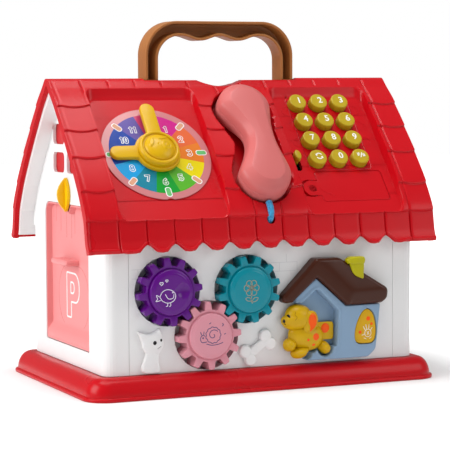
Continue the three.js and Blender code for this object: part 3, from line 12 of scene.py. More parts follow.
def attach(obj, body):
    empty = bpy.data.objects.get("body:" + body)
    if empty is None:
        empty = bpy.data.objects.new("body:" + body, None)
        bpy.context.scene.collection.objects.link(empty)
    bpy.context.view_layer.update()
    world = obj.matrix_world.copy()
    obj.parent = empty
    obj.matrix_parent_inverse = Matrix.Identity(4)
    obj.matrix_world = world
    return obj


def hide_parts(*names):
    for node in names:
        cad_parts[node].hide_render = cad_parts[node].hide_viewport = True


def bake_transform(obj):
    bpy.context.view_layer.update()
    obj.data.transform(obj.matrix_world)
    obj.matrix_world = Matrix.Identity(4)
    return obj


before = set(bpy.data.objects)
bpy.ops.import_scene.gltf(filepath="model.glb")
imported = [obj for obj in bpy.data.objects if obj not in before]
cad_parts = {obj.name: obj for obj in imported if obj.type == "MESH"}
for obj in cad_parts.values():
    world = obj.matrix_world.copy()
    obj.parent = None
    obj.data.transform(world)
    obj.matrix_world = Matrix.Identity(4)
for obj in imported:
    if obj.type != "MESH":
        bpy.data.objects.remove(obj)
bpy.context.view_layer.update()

# Camera
# The photograph was taken from in front of the house, a little to its left and barely
# above it, through a long lens, so the lines along the ridge hardly come together.
camera_place = (-0.63515, -1.44158, 0.24123)
camera_right = (0.91396, -0.40578, -0.00470)
camera_up = (0.03443, 0.06599, 0.99723)
camera_back = (-0.40434, -0.91159, 0.07428)
lens_data = bpy.data.cameras.new("photo_camera")
lens_data.sensor_fit = "HORIZONTAL"
lens_data.sensor_width = 36.0
lens_data.lens = 152.756
lens_data.clip_start = 0.05
lens_data.clip_end = 30.0
photo_camera = bpy.data.objects.new("photo_camera", lens_data)
bpy.context.scene.collection.objects.link(photo_camera)
photo_camera.matrix_world = Matrix([
    (camera_right[i], camera_up[i], camera_back[i], camera_place[i]) for i in range(3)
] + [(0.0, 0.0, 0.0, 1.0)])
bpy.context.scene.camera = photo_camera


# Handset cord
# A soft braided cord of blue polyester, 5.2 mm thick. It leaves the foot of the handset,
# drops in a short bow over the roof's lower edge, goes in through a hole there, passes
# over the front wall and hangs inside the house down to its knot.
def through(points, per_span):
    """A smooth line through points: on each span a cubic whose end slopes are half the
    chord of the neighbouring points, sampled per_span times."""
    p = np.asarray(points, float)
    ends = np.vstack([2 * p[:1] - p[1:2], p, 2 * p[-1:] - p[-2:-1]])
    a, b, c, d = ends[:-3, None], ends[1:-2, None], ends[2:-1, None], ends[3:, None]
    u = np.linspace(0, 1, per_span, endpoint=False)[None, :, None]
    line = 0.5 * (2 * b + (c - a) * u + (2 * a - 5 * b + 4 * c - d) * u**2
                  + (3 * b - a - 3 * c + d) * u**3)
    return np.vstack([line.reshape(-1, p.shape[1]), p[-1:]])


def net(rows, columns, around=False):
    """Faces of a net of points: each point (i, j) is joined to (i + 1, j) and (i, j + 1),
    and with around the last column is joined to the first."""
    i = np.arange(rows - 1)[:, None] * columns
    j = np.arange(columns if around else columns - 1)[None, :]
    k = (j + 1) % columns
    return np.stack([i + j, i + k, i + columns + k, i + columns + j], -1).reshape(-1, 4)


def make_piece(name, points, faces, material=None, sharp=38.0, solid=True):
    """A mesh object from points in millimetres and faces. It is smooth but for edges
    sharper than the given angle, and a solid one has its faces turned outward."""
    mesh = bpy.data.meshes.new(name)
    mesh.from_pydata((np.asarray(points, float) * 0.001).tolist(), [], [list(f) for f in faces])
    mesh.update()
    if solid:
        body = bmesh.new()
        body.from_mesh(mesh)
        bmesh.ops.recalc_face_normals(body, faces=body.faces)
        body.to_mesh(mesh)
        body.free()
    mesh.shade_smooth()
    mesh.set_sharp_from_angle(angle=np.radians(sharp))
    obj = bpy.data.objects.new(name, mesh)
    bpy.context.scene.collection.objects.link(obj)
    if material is not None:
        mesh.materials.append(material)
    return obj


def tube(line, radius, sides):
    """Points and faces of a tube: at each point of the line a ring of the given radius,
    in the plane square to the line there, its sides set square to one fixed direction."""
    line = np.asarray(line, float)
    ahead = np.gradient(line, axis=0)
    ahead /= np.linalg.norm(ahead, axis=1)[:, None]
    side = np.cross(ahead, (1.0, 0.02, 0.03))
    side /= np.linalg.norm(side, axis=1)[:, None]
    over = np.cross(ahead, side)
    angle = np.linspace(0, 2 * np.pi, sides, endpoint=False)
    spread = np.broadcast_to(radius, (len(line), sides))[..., None]
    rings = line[:, None] + spread * (
        side[:, None] * np.cos(angle)[None, :, None] + over[:, None] * np.sin(angle)[None, :, None])
    faces = net(len(line), sides, around=True).tolist()
    count = len(line) * sides
    faces += [list(range(sides))[::-1], list(range(count - sides, count))]
    return rings.reshape(-1, 3), faces


def run_along(line):
    """How far along a line each of its places is."""
    return np.concatenate([[0], np.cumsum(np.linalg.norm(np.diff(line, axis=0), axis=1))])


def new_material(name):
    """An empty node material with its Principled shader, and that shader."""
    material = bpy.data.materials.new(name)
    material.use_nodes = True
    return material, material.node_tree.nodes["Principled BSDF"]


def feed(tree, node, values):
    """Inputs of a node, by name or number, set to values or linked from sockets."""
    for key, value in values.items():
        if isinstance(value, bpy.types.NodeSocket):
            tree.links.new(value, node.inputs[key])
        else:
            node.inputs[key].default_value = value


def add_node(tree, kind, values=None, operation=None):
    """A new shader node of a kind, with its operation and what its inputs take."""
    node = tree.nodes.new("ShaderNode" + kind)
    if operation:
        node.operation = operation
    feed(tree, node, values or {})
    return node


cord_route = [
    (3.7, -86.3, 147.8), (3.8, -87.6, 146.1), (3.9, -89.0, 143.6), (4.0, -89.8, 140.6),
    (4.0, -89.5, 137.5), (4.0, -88.2, 134.7), (4.0, -85.8, 132.4), (4.0, -82.6, 130.6),
    (4.1, -79.2, 128.7), (4.2, -75.8, 126.2), (4.2, -72.6, 122.6), (4.2, -70.2, 118.0),
    (4.2, -69.0, 112.6), (4.2, -68.6, 106.0), (4.2, -68.5, 98.0), (4.2, -68.5, 88.0),
    (4.2, -68.5, 78.0), (4.2, -68.5, 68.0), (4.2, -68.5, 58.0), (4.2, -68.5, 48.0),
    (4.2, -68.5, 38.0),
]
cord_radius = 2.6
cord_line = through(cord_route, 14)
cord_run = run_along(cord_line)
cord_sides = 32
braid_turn = np.linspace(0, 2 * np.pi, cord_sides, endpoint=False)[None, :]
braid_climb = cord_run[:, None] * 2 * np.pi / 9.0
braid = np.maximum(
    np.abs(np.sin(2 * (braid_turn + braid_climb))), np.abs(np.sin(2 * (braid_turn - braid_climb))))
cord_points, cord_faces = tube(cord_line, cord_radius * (0.93 + 0.07 * braid), cord_sides)
braid_material, braid_shader = new_material("braided_polyester")
braid_tree = braid_material.node_tree
strand_places = add_node(braid_tree, "Attribute")
strand_places.attribute_name = "strand"
strand_noise = add_node(braid_tree, "TexNoise", {
    "Scale": 1.6, "Detail": 4.0, "Vector": strand_places.outputs["Vector"]})
strand_ramp = add_node(braid_tree, "ValToRGB", {"Fac": strand_noise.outputs["Fac"]})
dark_strand, light_strand = strand_ramp.color_ramp.elements
dark_strand.color, dark_strand.position = (0.004, 0.10, 0.30, 1), 0.30
light_strand.color, light_strand.position = (0.03, 0.42, 0.78, 1), 0.62
fibre = add_node(braid_tree, "TexWave", {
    "Scale": 2.4, "Distortion": 1.5, "Vector": strand_places.outputs["Vector"]})
fibre_bump = add_node(braid_tree, "Bump", {
    "Strength": 0.5, "Distance": 0.0002, "Height": fibre.outputs["Fac"]})
feed(braid_tree, braid_shader, {
    "Base Color": strand_ramp.outputs["Color"], "Normal": fibre_bump.outputs["Normal"],
    "Roughness": 0.62, "Sheen Weight": 0.35})
handset_cord = make_piece("handset_cord_braid", cord_points, cord_faces, braid_material)
strand = np.stack([
    np.broadcast_to(cord_run[:, None] / 2.2, (len(cord_run), cord_sides)),
    np.broadcast_to(3.0 * np.cos(braid_turn), (len(cord_run), cord_sides)),
    np.broadcast_to(3.0 * np.sin(braid_turn), (len(cord_run), cord_sides))], -1)
layer = handset_cord.data.attributes.new("strand", "FLOAT_VECTOR", "POINT")
layer.data.foreach_set("vector", strand.reshape(-1))
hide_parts("handset_cord")

# Cord knot
# The same cord tied in a simple overhand knot, which can't pass the hole in the roof.
knot_turn = np.linspace(0, 2 * np.pi, 160)
knot_middle, knot_size, knot_radius = np.array([4.2, -68.5, 32.1]), 1.15, 1.9
knot_line = knot_middle + knot_size * np.stack([
    np.sin(knot_turn) + 2 * np.sin(2 * knot_turn),
    np.cos(knot_turn) - 2 * np.cos(2 * knot_turn),
    1.3 * -np.sin(3 * knot_turn)], -1)
knot_points, knot_faces = tube(knot_line, knot_radius, 20)
cord_knot = make_piece("cord_knot_tied", knot_points, knot_faces, braid_material)
knot_strand = cord_knot.data.attributes.new("strand", "FLOAT_VECTOR", "POINT")
knot_strand.data.foreach_set("vector", (knot_points * 0.45).reshape(-1))
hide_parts("cord_knot")
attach(cord_knot, "house")
[0.001 * v for v in cord_route[0]]
[0.001 * v for v in cord_route[0]]
[0.001 * v for v in cord_route[6]]
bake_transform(handset_cord)

# Studio
# A white sweep with large soft lights: a broad one from the left and above, a weaker one
# from the right, and one from overhead, so that the front wall is a little darker.
floor_points = np.array([(-4e3, -4e3, 0), (4e3, -4e3, 0), (4e3, 4e3, 0), (-4e3, 4e3, 0)])
sweep_material, sweep_shader = new_material("white_sweep")
sweep_tree = sweep_material.node_tree
sweep_place = add_node(sweep_tree, "TexCoord")
sweep_reach = add_node(sweep_tree, "VectorMath", {0: sweep_place.outputs["Object"]}, "LENGTH")
sweep_white = add_node(sweep_tree, "MapRange", {
    "Value": sweep_reach.outputs["Value"],
    "From Min": 0.19, "From Max": 0.36, "To Min": 0.02, "To Max": 1.0})
sweep_seen = add_node(sweep_tree, "LightPath")
sweep_glow = add_node(sweep_tree, "Math", {
    0: sweep_white.outputs["Result"], 1: sweep_seen.outputs["Is Camera Ray"]}, "MULTIPLY")
feed(sweep_tree, sweep_shader, {
    "Base Color": (0.92, 0.92, 0.92, 1), "Roughness": 0.9,
    "Emission Color": (1, 1, 1, 1), "Emission Strength": sweep_glow.outputs[0]})
sweep = make_piece("studio_floor", floor_points, [(0, 1, 2, 3)], sweep_material, solid=False)
studio = bpy.data.worlds.new("studio")
studio.use_nodes = True
sky = studio.node_tree
sky_seen = add_node(sky, "LightPath")
sky_strength = add_node(sky, "MapRange", {
    "Value": sky_seen.outputs["Is Camera Ray"], "To Min": 0.29, "To Max": 1.0})
feed(sky, sky.nodes["Background"], {
    "Color": (1, 1, 1, 1), "Strength": sky_strength.outputs["Result"]})
bpy.context.scene.world = studio
bpy.context.scene.view_settings.view_transform = "Standard"
for lamp_name, lamp_place, lamp_size, lamp_power in (
    ("left_softbox", (-1.5, -0.05, 0.8), 1.0, 19.0),
    ("right_softbox", (1.2, -1.2, 0.9), 0.9, 6.5),
    ("overhead_softbox", (-0.1, -0.1, 1.6), 1.0, 18.0),
):
    lamp_data = bpy.data.lights.new(lamp_name, "AREA")
    lamp_data.size = lamp_size
    lamp_data.energy = lamp_power
    lamp = bpy.data.objects.new(lamp_name, lamp_data)
    bpy.context.scene.collection.objects.link(lamp)
    lamp.location = lamp_place
    lamp.rotation_euler = (
        Vector((0, 0, 0.12)) - Vector(lamp_place)).to_track_quat("-Z", "Y").to_euler()

# Base tray
# The red foot of the house is one injection moulding: a hollow skirt with a bead round its
# lower edge, which swells up in a quarter round to the walls that stand in it.
cloud_group = bpy.data.node_groups.new("moulded_skin", "ShaderNodeTree")
for socket_name, socket_kind, socket_value in (
    ("Colour", "NodeSocketColor", (0.5, 0.5, 0.5, 1)), ("Roughness", "NodeSocketFloat", 0.3),
    ("Cloud", "NodeSocketFloat", 0.05), ("Grain", "NodeSocketFloat", 0.3),
):
    new_socket = cloud_group.interface.new_socket(
        socket_name, in_out="INPUT", socket_type=socket_kind)
    new_socket.default_value = socket_value
for socket_name, socket_kind in (
    ("Colour", "NodeSocketColor"), ("Roughness", "NodeSocketFloat"), ("Normal", "NodeSocketVector"),
):
    cloud_group.interface.new_socket(socket_name, in_out="OUTPUT", socket_type=socket_kind)
inlet = cloud_group.nodes.new("NodeGroupInput").outputs
outlet = cloud_group.nodes.new("NodeGroupOutput")
skin_places = add_node(cloud_group, "TexCoord").outputs["Object"]
skin_noises = [{"Scale": 22.0, "Detail": 3.0}, {"Scale": 2600.0, "Detail": 2.0}, {"Scale": 90.0}]
flow, spark, sink = (
    add_node(cloud_group, "TexNoise", {**noise, "Vector": skin_places}).outputs["Fac"]
    for noise in skin_noises)
swing = add_node(cloud_group, "Math", {0: flow, 1: 0.5}, "SUBTRACT").outputs[0]
lift = add_node(cloud_group, "Math", {0: swing, 1: inlet["Cloud"], 2: 1.0}, "MULTIPLY_ADD")
tint = add_node(cloud_group, "HueSaturation", {"Color": inlet["Colour"], "Value": lift.outputs[0]})
matt = add_node(cloud_group, "Math", {0: swing, 1: 0.16, 2: inlet["Roughness"]}, "MULTIPLY_ADD")
sinks = add_node(cloud_group, "Bump", {"Strength": 0.12, "Distance": 0.0004, "Height": sink})
sparks = add_node(cloud_group, "Bump", {
    "Strength": inlet["Grain"], "Distance": 0.00003, "Height": spark,
    "Normal": sinks.outputs["Normal"]})
feed(cloud_group, outlet, {
    "Colour": tint.outputs["Color"], "Roughness": matt.outputs[0],
    "Normal": sparks.outputs["Normal"]})


def skinned(name, skin_values, shader_values):
    """A material whose colour, roughness and normal come from the skin group, with what
    the group's inputs and the shader's other inputs take."""
    material, shader = new_material(name)
    skin = material.node_tree.nodes.new("ShaderNodeGroup")
    skin.node_tree = cloud_group
    feed(material.node_tree, skin, skin_values)
    feed(material.node_tree, shader, {
        "Base Color": skin.outputs["Colour"], "Roughness": skin.outputs["Roughness"],
        "Normal": skin.outputs["Normal"], **shader_values})
    return material


def moulded(name, colour, roughness=0.3, coat=0.35, cloud=0.06, glow=0.0, shine=0.2):
    """Injection-moulded plastic of one colour: faint flow clouds and sink marks, a fine
    skin grain and a clear gloss coat, with glow for plastics that light enters."""
    entered = {
        "Subsurface Weight": glow, "Subsurface Radius": (0.004, 0.003, 0.003),
        "Subsurface Scale": 0.6}
    return skinned(name, {
        "Colour": (*colour, 1), "Roughness": roughness, "Cloud": cloud, "Grain": 0.25,
    }, {
        "Coat Weight": 0.5 * coat, "Coat Roughness": 0.14, "Specular IOR Level": shine,
        **(entered if glow else {})})


def toward(angle):
    """Unit vectors in a plane, at the given angles."""
    return np.stack([np.cos(angle), np.sin(angle)], -1)


def at_height(outline, height):
    """A flat outline as places at one height, or each at its own."""
    return np.column_stack([outline, np.broadcast_to(height, len(outline))])


def rounded_box(low_x, high_x, low_y, high_y, radius, steps=10):
    """A closed rectangle, anticlockwise, whose corners are quarter circles."""
    angle = np.linspace(0, np.pi / 2, steps)
    arc = radius * toward(angle)
    turn = [np.array([toward(q), toward(q + np.pi / 2)]) for q in np.arange(4) * np.pi / 2]
    middles = [(high_x - radius, high_y - radius), (low_x + radius, high_y - radius),
               (low_x + radius, low_y + radius), (high_x - radius, low_y + radius)]
    return np.vstack([arc @ q + m for q, m in zip(turn, middles)])


def stack(rings, low_cap=True, high_cap=True):
    """Points and faces of a skin through a stack of closed rings of equally many points,
    with a flat face over the first and the last one if asked."""
    rings = np.asarray(rings, float)
    count, around = rings.shape[:2]
    faces = net(count, around, around=True).tolist()
    if low_cap:
        faces.append(list(range(around))[::-1])
    if high_cap:
        faces.append(list(range((count - 1) * around, count * around)))
    return rings.reshape(-1, 3), faces


red_plastic = moulded("red_moulding", (0.54, 0.0015, 0.007), roughness=0.30, coat=0.14, glow=0.02)
tray_length, tray_depth, tray_corner = 303.0, 201.0, 19.0
skirt_turn = np.linspace(0, np.pi / 2, 14)
skirt_inset = 2.2 + 10.8 * (1 - np.cos(skirt_turn))
skirt_height = 3.2 + 14.3 * np.sin(skirt_turn)
tray_profile = [
    (1.2, 0.0), (0.35, 0.25), (0.0, 1.0), (0.0, 2.1), (0.35, 2.8), (1.1, 3.1), (1.9, 3.15)]
tray_profile += list(zip(skirt_inset, skirt_height))
tray_profile += [(13.6, 17.5), (18.5, 17.5), (19.2, 17.0), (19.2, 15.0)]
tray_rings = [
    at_height(rounded_box(
        -tray_length / 2 + q, tray_length / 2 - q, -tray_depth / 2 + q, tray_depth / 2 - q,
        max(tray_corner - q, 2.5)), z)
    for q, z in tray_profile]
base_tray = make_piece("base_tray_skirt", *stack(tray_rings), red_plastic, sharp=50)
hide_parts("base_tray")
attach(base_tray, "house")

# Walls
# The two end walls, the front panel and the rear panel are white mouldings. The end walls
# wrap round the corners and meet the panels in narrow open seams.
white_plastic = moulded(
    "white_moulding", (0.80, 0.80, 0.80), roughness=0.34, coat=0.2, cloud=0.02, glow=0.03)


def dress(node, material, sharp=30.0):
    """A CAD node keeps its mesh and gets a material, smooth but for its sharper edges."""
    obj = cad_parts[node]
    obj.data.materials.clear()
    obj.data.materials.append(material)
    obj.data.shade_smooth()
    obj.data.set_sharp_from_angle(angle=np.radians(sharp))
    return obj


for wall_node in ("left_end_wall", "right_end_wall", "front_panel", "rear_panel"):
    dress(wall_node, white_plastic)
dress("garage_bay", white_plastic)
dress("window_backing", red_plastic)

# Roof shell
# The roof is one red moulding, thin-walled, with rows of tiles whose lower ends stand a
# little proud, a scalloped eave, and sunk pans for the clock and the keys. It snaps on the
# walls and is screwed from below. A cradle is sunk in it for the handset.
slope_along = np.array([0.64671, 0.76274])
slope_out = np.array([-0.76274, 0.64671])
foot_out, foot_high, ridge_high, roof_half = 90.0, 137.3, 245.5, 150.0
slope_foot = np.array([-foot_out, foot_high])
tile_width = 22.9
tile_rows = (0.4, 25.0, 56.3, 83.0, 108.0, 141.0)
tile_step, tile_shift = 1.3, 2.2
shell_wall, rim_wall = 3.0, 5.5
crest_line = through(
    [(0.0, ridge_high), (2.2, 245.25), (3.9, 244.5), (6.0, 242.6), (10.5, 237.9)], 10)
back_line = through([
    (6.0, 242.6), (10.51, 237.9), (24.0, 225.4), (42.0, 205.1), (61.0, 182.7), (77.0, 161.7),
    (86.5, 145.6), (90.0, 137.6), (91.0, 133.0), (92.6, 124.0)], 14)
eave_line = through([(91.0, 133.0), (92.6, 124.0), (93.6, 120.0), (95.6, 115.6), (98.0, 112.5)], 10)
profile = np.vstack([crest_line[:40], back_line[14:-14], eave_line[10:]])
profile_t = (foot_out - profile[:, 0]) * slope_along[0] + (
    profile[:, 1] - foot_high) * slope_along[1]
profile_order = np.argsort(profile_t)
profile_t, profile = profile_t[profile_order], profile[profile_order]


def smooth_step(low, high, value):
    """0 below low and 1 above high, and between them 3 u^2 - 2 u^3."""
    u = np.clip((value - low) / (high - low), 0, 1)
    return u * u * (3 - 2 * u)


def roof_line(t):
    """The roof's outer line at the distance t up the slope: how far out from the ridge and
    how high it is, and the line's outward normal there."""
    out = np.interp(t, profile_t, profile[:, 0])
    high = np.interp(t, profile_t, profile[:, 1])
    step = 0.6
    run, climb = (np.interp(t + step, profile_t, way) - np.interp(t - step, profile_t, way)
                  for way in profile.T)
    size = np.hypot(run, climb)
    return out, high, climb / size, -run / size


def rounded_distance(x, y, low_x, high_x, low_y, high_y, radius):
    """How far a place is outside a rectangle with round corners, negative inside it."""
    away_x = np.abs(x - (low_x + high_x) / 2) - (high_x - low_x) / 2 + radius
    away_y = np.abs(y - (low_y + high_y) / 2) - (high_y - low_y) / 2 + radius
    return np.hypot(np.maximum(away_x, 0), np.maximum(away_y, 0)) + np.minimum(
        np.maximum(away_x, away_y), 0) - radius


mouth_middle, waist_middle, ear_middle = np.array([(4.8, 33.5), (10.0, 66.9), (6.2, 100.3)])


def cradle_distance(x, t):
    """How far a place on the slope is outside the handset's cradle: the nearest of two
    round ends and a narrower middle, blended where they meet."""
    mouth = np.hypot(x - mouth_middle[0], t - mouth_middle[1]) - 24.5
    ear = np.hypot(x - ear_middle[0], t - ear_middle[1]) - 24.7
    middle_x = np.interp(t, *np.array([mouth_middle, waist_middle, ear_middle]).T[::-1])
    waist = np.maximum(np.abs(x - middle_x) - 20.0, np.abs(t - waist_middle[1]) - 33.4)
    soft = 5.0
    return -soft * np.log(np.exp(-mouth / soft) + np.exp(-ear / soft) + np.exp(-waist / soft)) + 0.9


pan_shapes = ((-122.0, -30.5), (37.5, 124.0))
pan_low_y, pan_high_y, pan_corner = -91.2, -12.0, 6.0
saddle_x, saddle_half, saddle_radius, saddle_low = -1.5, 21.0, 46.6, 238.5
cradle_depth = 2.8


def roof_surface(x, t, row, front, spread=0.0):
    """The roof's outer skin as arrays of x, y and z: the line of the roof, the tiles' steps
    and joints along its normal, the sunk pans straight down and the cradle square to the
    slope. spread widens the sunk places for the skin inside."""
    out, high, normal_out, normal_up = roof_line(t)
    beside = x - tile_shift
    tile_share = (beside - tile_width * np.round(beside / tile_width)) / (tile_width / 2)
    lift = np.zeros_like(t)
    for low, top in zip(tile_rows[:-1], tile_rows[1:]):
        fade = np.clip((top - row) / (top - low), 0, 1) * (row < top)
        lift += tile_step * smooth_step(low - 0.45, low + 0.45, row) * fade
    joint = np.exp(-((1 - np.abs(tile_share)) * tile_width / 2 / 0.6) ** 2)
    joint *= smooth_step(4.5, 6.5, out) * smooth_step(149.0, 146.0, np.abs(x))
    if front:
        for low_x, high_x in pan_shapes:
            beyond = rounded_distance(x, -out, low_x, high_x, pan_low_y, pan_high_y, pan_corner)
            joint *= np.where(row < 1.2, 1.0, smooth_step(1.8, 3.4, beyond))
    lift -= (0.8 + 0.7 * smooth_step(0.0, -5.0, row)) * joint + 0.45 - 0.5 * smooth_step(
        -22.4, -23.0, row)
    out, high = out + lift * normal_out, high + lift * normal_up
    middle = smooth_step(69.0, 68.0, np.abs(x))
    off = np.clip(x - saddle_x, -saddle_half, saddle_half)
    scoop = saddle_low + saddle_radius - np.sqrt(saddle_radius**2 - off**2)
    top = ridge_high - 2.0 * middle
    top = np.where(np.abs(x - saddle_x) < saddle_half, np.minimum(top, scoop), top)
    high = np.minimum(high, top)
    if front:
        floor = foot_high + (foot_out - out) * slope_along[1] / slope_along[0]
        for low_x, high_x in pan_shapes:
            away = rounded_distance(
                x, -out, low_x, high_x, pan_low_y, pan_high_y, pan_corner) - spread
            high = floor + (high - floor) * np.where(
                high > floor, smooth_step(-1.0, 0.5, away), 1.0)
        along = (foot_out - out) * slope_along[0] + (high - foot_high) * slope_along[1]
        above = (out - foot_out) * -slope_out[0] + (high - foot_high) * slope_out[1]
        inside = smooth_step(-1.3, 0.5, cradle_distance(x, along) - spread)
        sunk = -cradle_depth + (above + cradle_depth) * inside
        above = np.where(above > -cradle_depth, sunk, above)
        out = foot_out - along * slope_along[0] - above * slope_out[0]
        high = foot_high + along * slope_along[1] + above * slope_out[1]
    return out, high


def dense_lines(low, high, pitch, places, offsets):
    """Grid lines from low to high about a pitch apart, with closer ones at each place."""
    lines = np.concatenate([np.arange(low, high, pitch), [high]])
    extra = (np.asarray(places)[:, None] + np.asarray(offsets)[None, :]).ravel()
    lines = np.unique(np.round(np.concatenate([lines, extra[(extra > low) & (extra < high)]]), 2))
    keep = np.concatenate([[True], np.diff(lines) > 0.12])
    return lines[keep]


joint_places = tile_width * (np.arange(-6, 6) + 0.5) + tile_shift
extra_x = np.array([67.8, 68.5, 69.2, 144.0, 145.0, 149.0, 149.6])
roof_x = dense_lines(
    -roof_half, roof_half, 1.5, joint_places, (-1.3, -0.7, -0.3, 0.0, 0.3, 0.7, 1.3))
roof_x = np.union1d(roof_x, dense_lines(
    -roof_half, roof_half, 400.0, np.ravel(pan_shapes), (-1.6, -1.0, -0.6, -0.2, 0.2, 0.5, 1.0)))
roof_x = np.union1d(roof_x, np.concatenate([np.arange(-20.0, 31.0, 0.9), extra_x, -extra_x]))
roof_x = roof_x[np.concatenate([[True], np.diff(roof_x) > 0.15])]
low_row, high_row = -24.1, 140.7
front_rows = dense_lines(low_row, high_row, 1.0, tile_rows[:-1], (-0.6, -0.25, 0.0, 0.25, 0.6))
front_rows = np.union1d(front_rows, [
    -23.6, -23.0, -22.7, -22.4,
    118.0, 118.4, 118.8, 119.2, 119.6, 120.0, 120.4, 120.8, 121.2, 121.6, 122.0])
rear_rows = dense_lines(
    low_row, high_row, 3.0, (*tile_rows[:-1], 138.0), (-1.2, -0.6, -0.25, 0.0, 0.25, 0.6, 1.2))
inner_rows = np.array([
    -24.0, -20.0, -16.0, -12.0, -8.0, -4.0, 0.0, 3.0, 6.0, 14.0, 28.0, 42.0, 56.0, 70.0, 84.0, 98.0,
    110.0, 116.0, 119.0, 122.0, 126.0, 132.0, 137.0, 140.0])


def roof_rows(rows, front, inner=False):
    """One side of the roof as rows of points. The rows dip between the tiles' joints, by
    2 mm up the slope and by 0.9 mm at the eave, and the lowest ones follow its scallops,
    which rise to 6 mm at each joint as a cosine wave with narrowed crests."""
    row = np.broadcast_to(np.asarray(rows)[:, None], (len(rows), len(roof_x)))
    x = np.broadcast_to(roof_x[None, :], row.shape)
    beside = x - tile_shift
    share = (beside - tile_width * np.round(beside / tile_width)) / (tile_width / 2)
    band = smooth_step(-123.0, -125.0, x) + smooth_step(125.0, 127.0, x)
    band = band + smooth_step(-31.5, -29.0, x) * smooth_step(38.5, 36.0, x)
    if not front:
        band = np.ones_like(band)
    dip = (1 - share**2) * np.where(row > 12, 2.0 * band * smooth_step(130.0, 110.0, row), 0.0)
    dip = dip + (1 - share**2) * 0.9 * smooth_step(-5.6, 0.4, row) * smooth_step(15.0, 6.0, row)
    notch = 6.0 * ((1 - np.cos(np.pi * share)) / 2) ** 1.3 * (np.abs(beside) < 5.0 * tile_width)
    trim = notch + 1.9 + 1.2 * smooth_step(118.0, 126.0, np.abs(x))
    t = row - dip + trim / 0.92 * smooth_step(-9.0, -24.1, row)
    if not inner:
        out, high = roof_surface(x, t, row, front)
    else:
        wall = shell_wall + (rim_wall - shell_wall) * smooth_step(144.0, 145.0, np.abs(x))
        out, high = roof_surface(x, t, row * 0 + 140.9, front, spread=3.0)
        lean_out, lean_up = roof_line(t)[2:]
        out, high = out - wall * lean_out, high - wall * lean_up
    return np.stack([x, -out if front else out, high], -1)


front_skin = roof_rows(front_rows, True)
rear_skin = roof_rows(rear_rows, False)
front_lining = roof_rows(inner_rows, True, inner=True)
rear_lining = roof_rows(inner_rows, False, inner=True)


eave_low = 112.5


def lip(outer, inner):
    """Three rows that round the roof's lower edge between the outer and the inner row, no
    lower than the eave."""
    middle, half = (outer + inner) / 2, (outer - inner) / 2
    reach = np.linalg.norm(half, axis=-1)[..., None]
    down = np.array([0.0, 0.0, -1.0]) * reach
    rows = np.stack([
        middle + half * np.cos(a) + down * np.sin(a) for a in np.radians((45.0, 90.0, 135.0))])
    rows[..., 2] = np.maximum(rows[..., 2], eave_low)
    return rows


front_lip = lip(front_skin[0], front_lining[0])
rear_lip = lip(rear_skin[0], rear_lining[0])
roof_loop = np.concatenate([
    front_skin, rear_skin[::-1], rear_lip, rear_lining, front_lining[::-1], front_lip[::-1]])
roof_faces = net(len(roof_loop) + 1, len(roof_x)) % (len(roof_loop) * len(roof_x))
rim_left = (np.arange(len(roof_loop)) * len(roof_x)).tolist()
rim_right = (np.arange(len(roof_loop)) * len(roof_x) + len(roof_x) - 1).tolist()
roof_shell = make_piece(
    "roof_shell_tiled", roof_loop.reshape(-1, 3), roof_faces.tolist() + [rim_left[::-1], rim_right],
    red_plastic, sharp=32)
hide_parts("roof_shell")
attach(roof_shell, "house")

# Handle
# The folding handle is one caramel-brown moulding: a deep channel that is open towards the
# front, with a wavy grip. It turns on two steel pins under the ridge.
handle_half, handle_leg, handle_top, handle_corner, handle_inner = 65.9, 10.9, 291.5, 28.0, 19.0
handle_front, handle_back, channel_wall, channel_foot, pivot_up = -2.0, 16.0, 2.2, 244.0, 231.0
brown_plastic = moulded(
    "caramel_moulding", (0.38, 0.145, 0.04), roughness=0.42, coat=0.12, cloud=0.1)


def hoop(half, top, corner, foot, steps):
    """An upside-down U in the plane of x and z: straight legs, quarter circles, straight top."""
    angle = np.linspace(np.pi, np.pi / 2, steps)
    bend = np.stack(
        [-half + corner + corner * np.cos(angle), top - corner + corner * np.sin(angle)], -1)
    leg = np.stack([np.full(12, -half), np.linspace(foot, top - corner, 12, endpoint=False)], -1)
    bar = np.stack([np.linspace(-half + corner, 0, 40)[1:], np.full(39, top)], -1)
    left = np.vstack([leg, bend, bar])
    return np.vstack([left, (left * (-1, 1))[-2::-1]])


handle_outer = hoop(handle_half, handle_top, handle_corner, channel_foot - 2.0, 24)
handle_inside = hoop(
    handle_half - handle_leg, handle_top - 12.0, handle_inner, channel_foot - 2.0, 24)
grip_wave = 1.9 * (np.cos(2 * np.pi * handle_inside[:, 0] / 34.0) - 1)
grip_reach = smooth_step(37.0, 32.0, np.abs(handle_inside[:, 0])) * (
    handle_inside[:, 1] > handle_top - 14.0)
handle_inside[:, 1] += grip_wave * grip_reach
across_wall = handle_inside - handle_outer
across_wall /= np.linalg.norm(across_wall, axis=1)[:, None]
edge_turn = np.radians((0.0, 22.5, 45.0, 67.5, 90.0))
soft = 0.7
loop_across = np.concatenate([
    soft * (1 - np.sin(edge_turn)), soft * (1 - np.cos(edge_turn)),
    [channel_wall - 0.5, channel_wall - 0.15, channel_wall]])
loop_deep = np.concatenate([
    handle_back - soft * (1 - np.cos(edge_turn)), handle_front + soft * (1 - np.sin(edge_turn)),
    [handle_front, handle_front + 0.15, handle_front + 0.5]])
loop_across = np.concatenate([loop_across, [channel_wall, channel_wall + 0.4, channel_wall + 1.2]])
loop_deep = np.concatenate([
    loop_deep, [
        handle_back - channel_wall - 1.0, handle_back - channel_wall - 0.3,
        handle_back - channel_wall]])
from_outer = handle_outer[:, None] + across_wall[:, None] * loop_across[None, :, None]
from_inner = handle_inside[:, None] - across_wall[:, None] * loop_across[None, ::-1, None]
section = np.concatenate([from_outer, from_inner], axis=1)
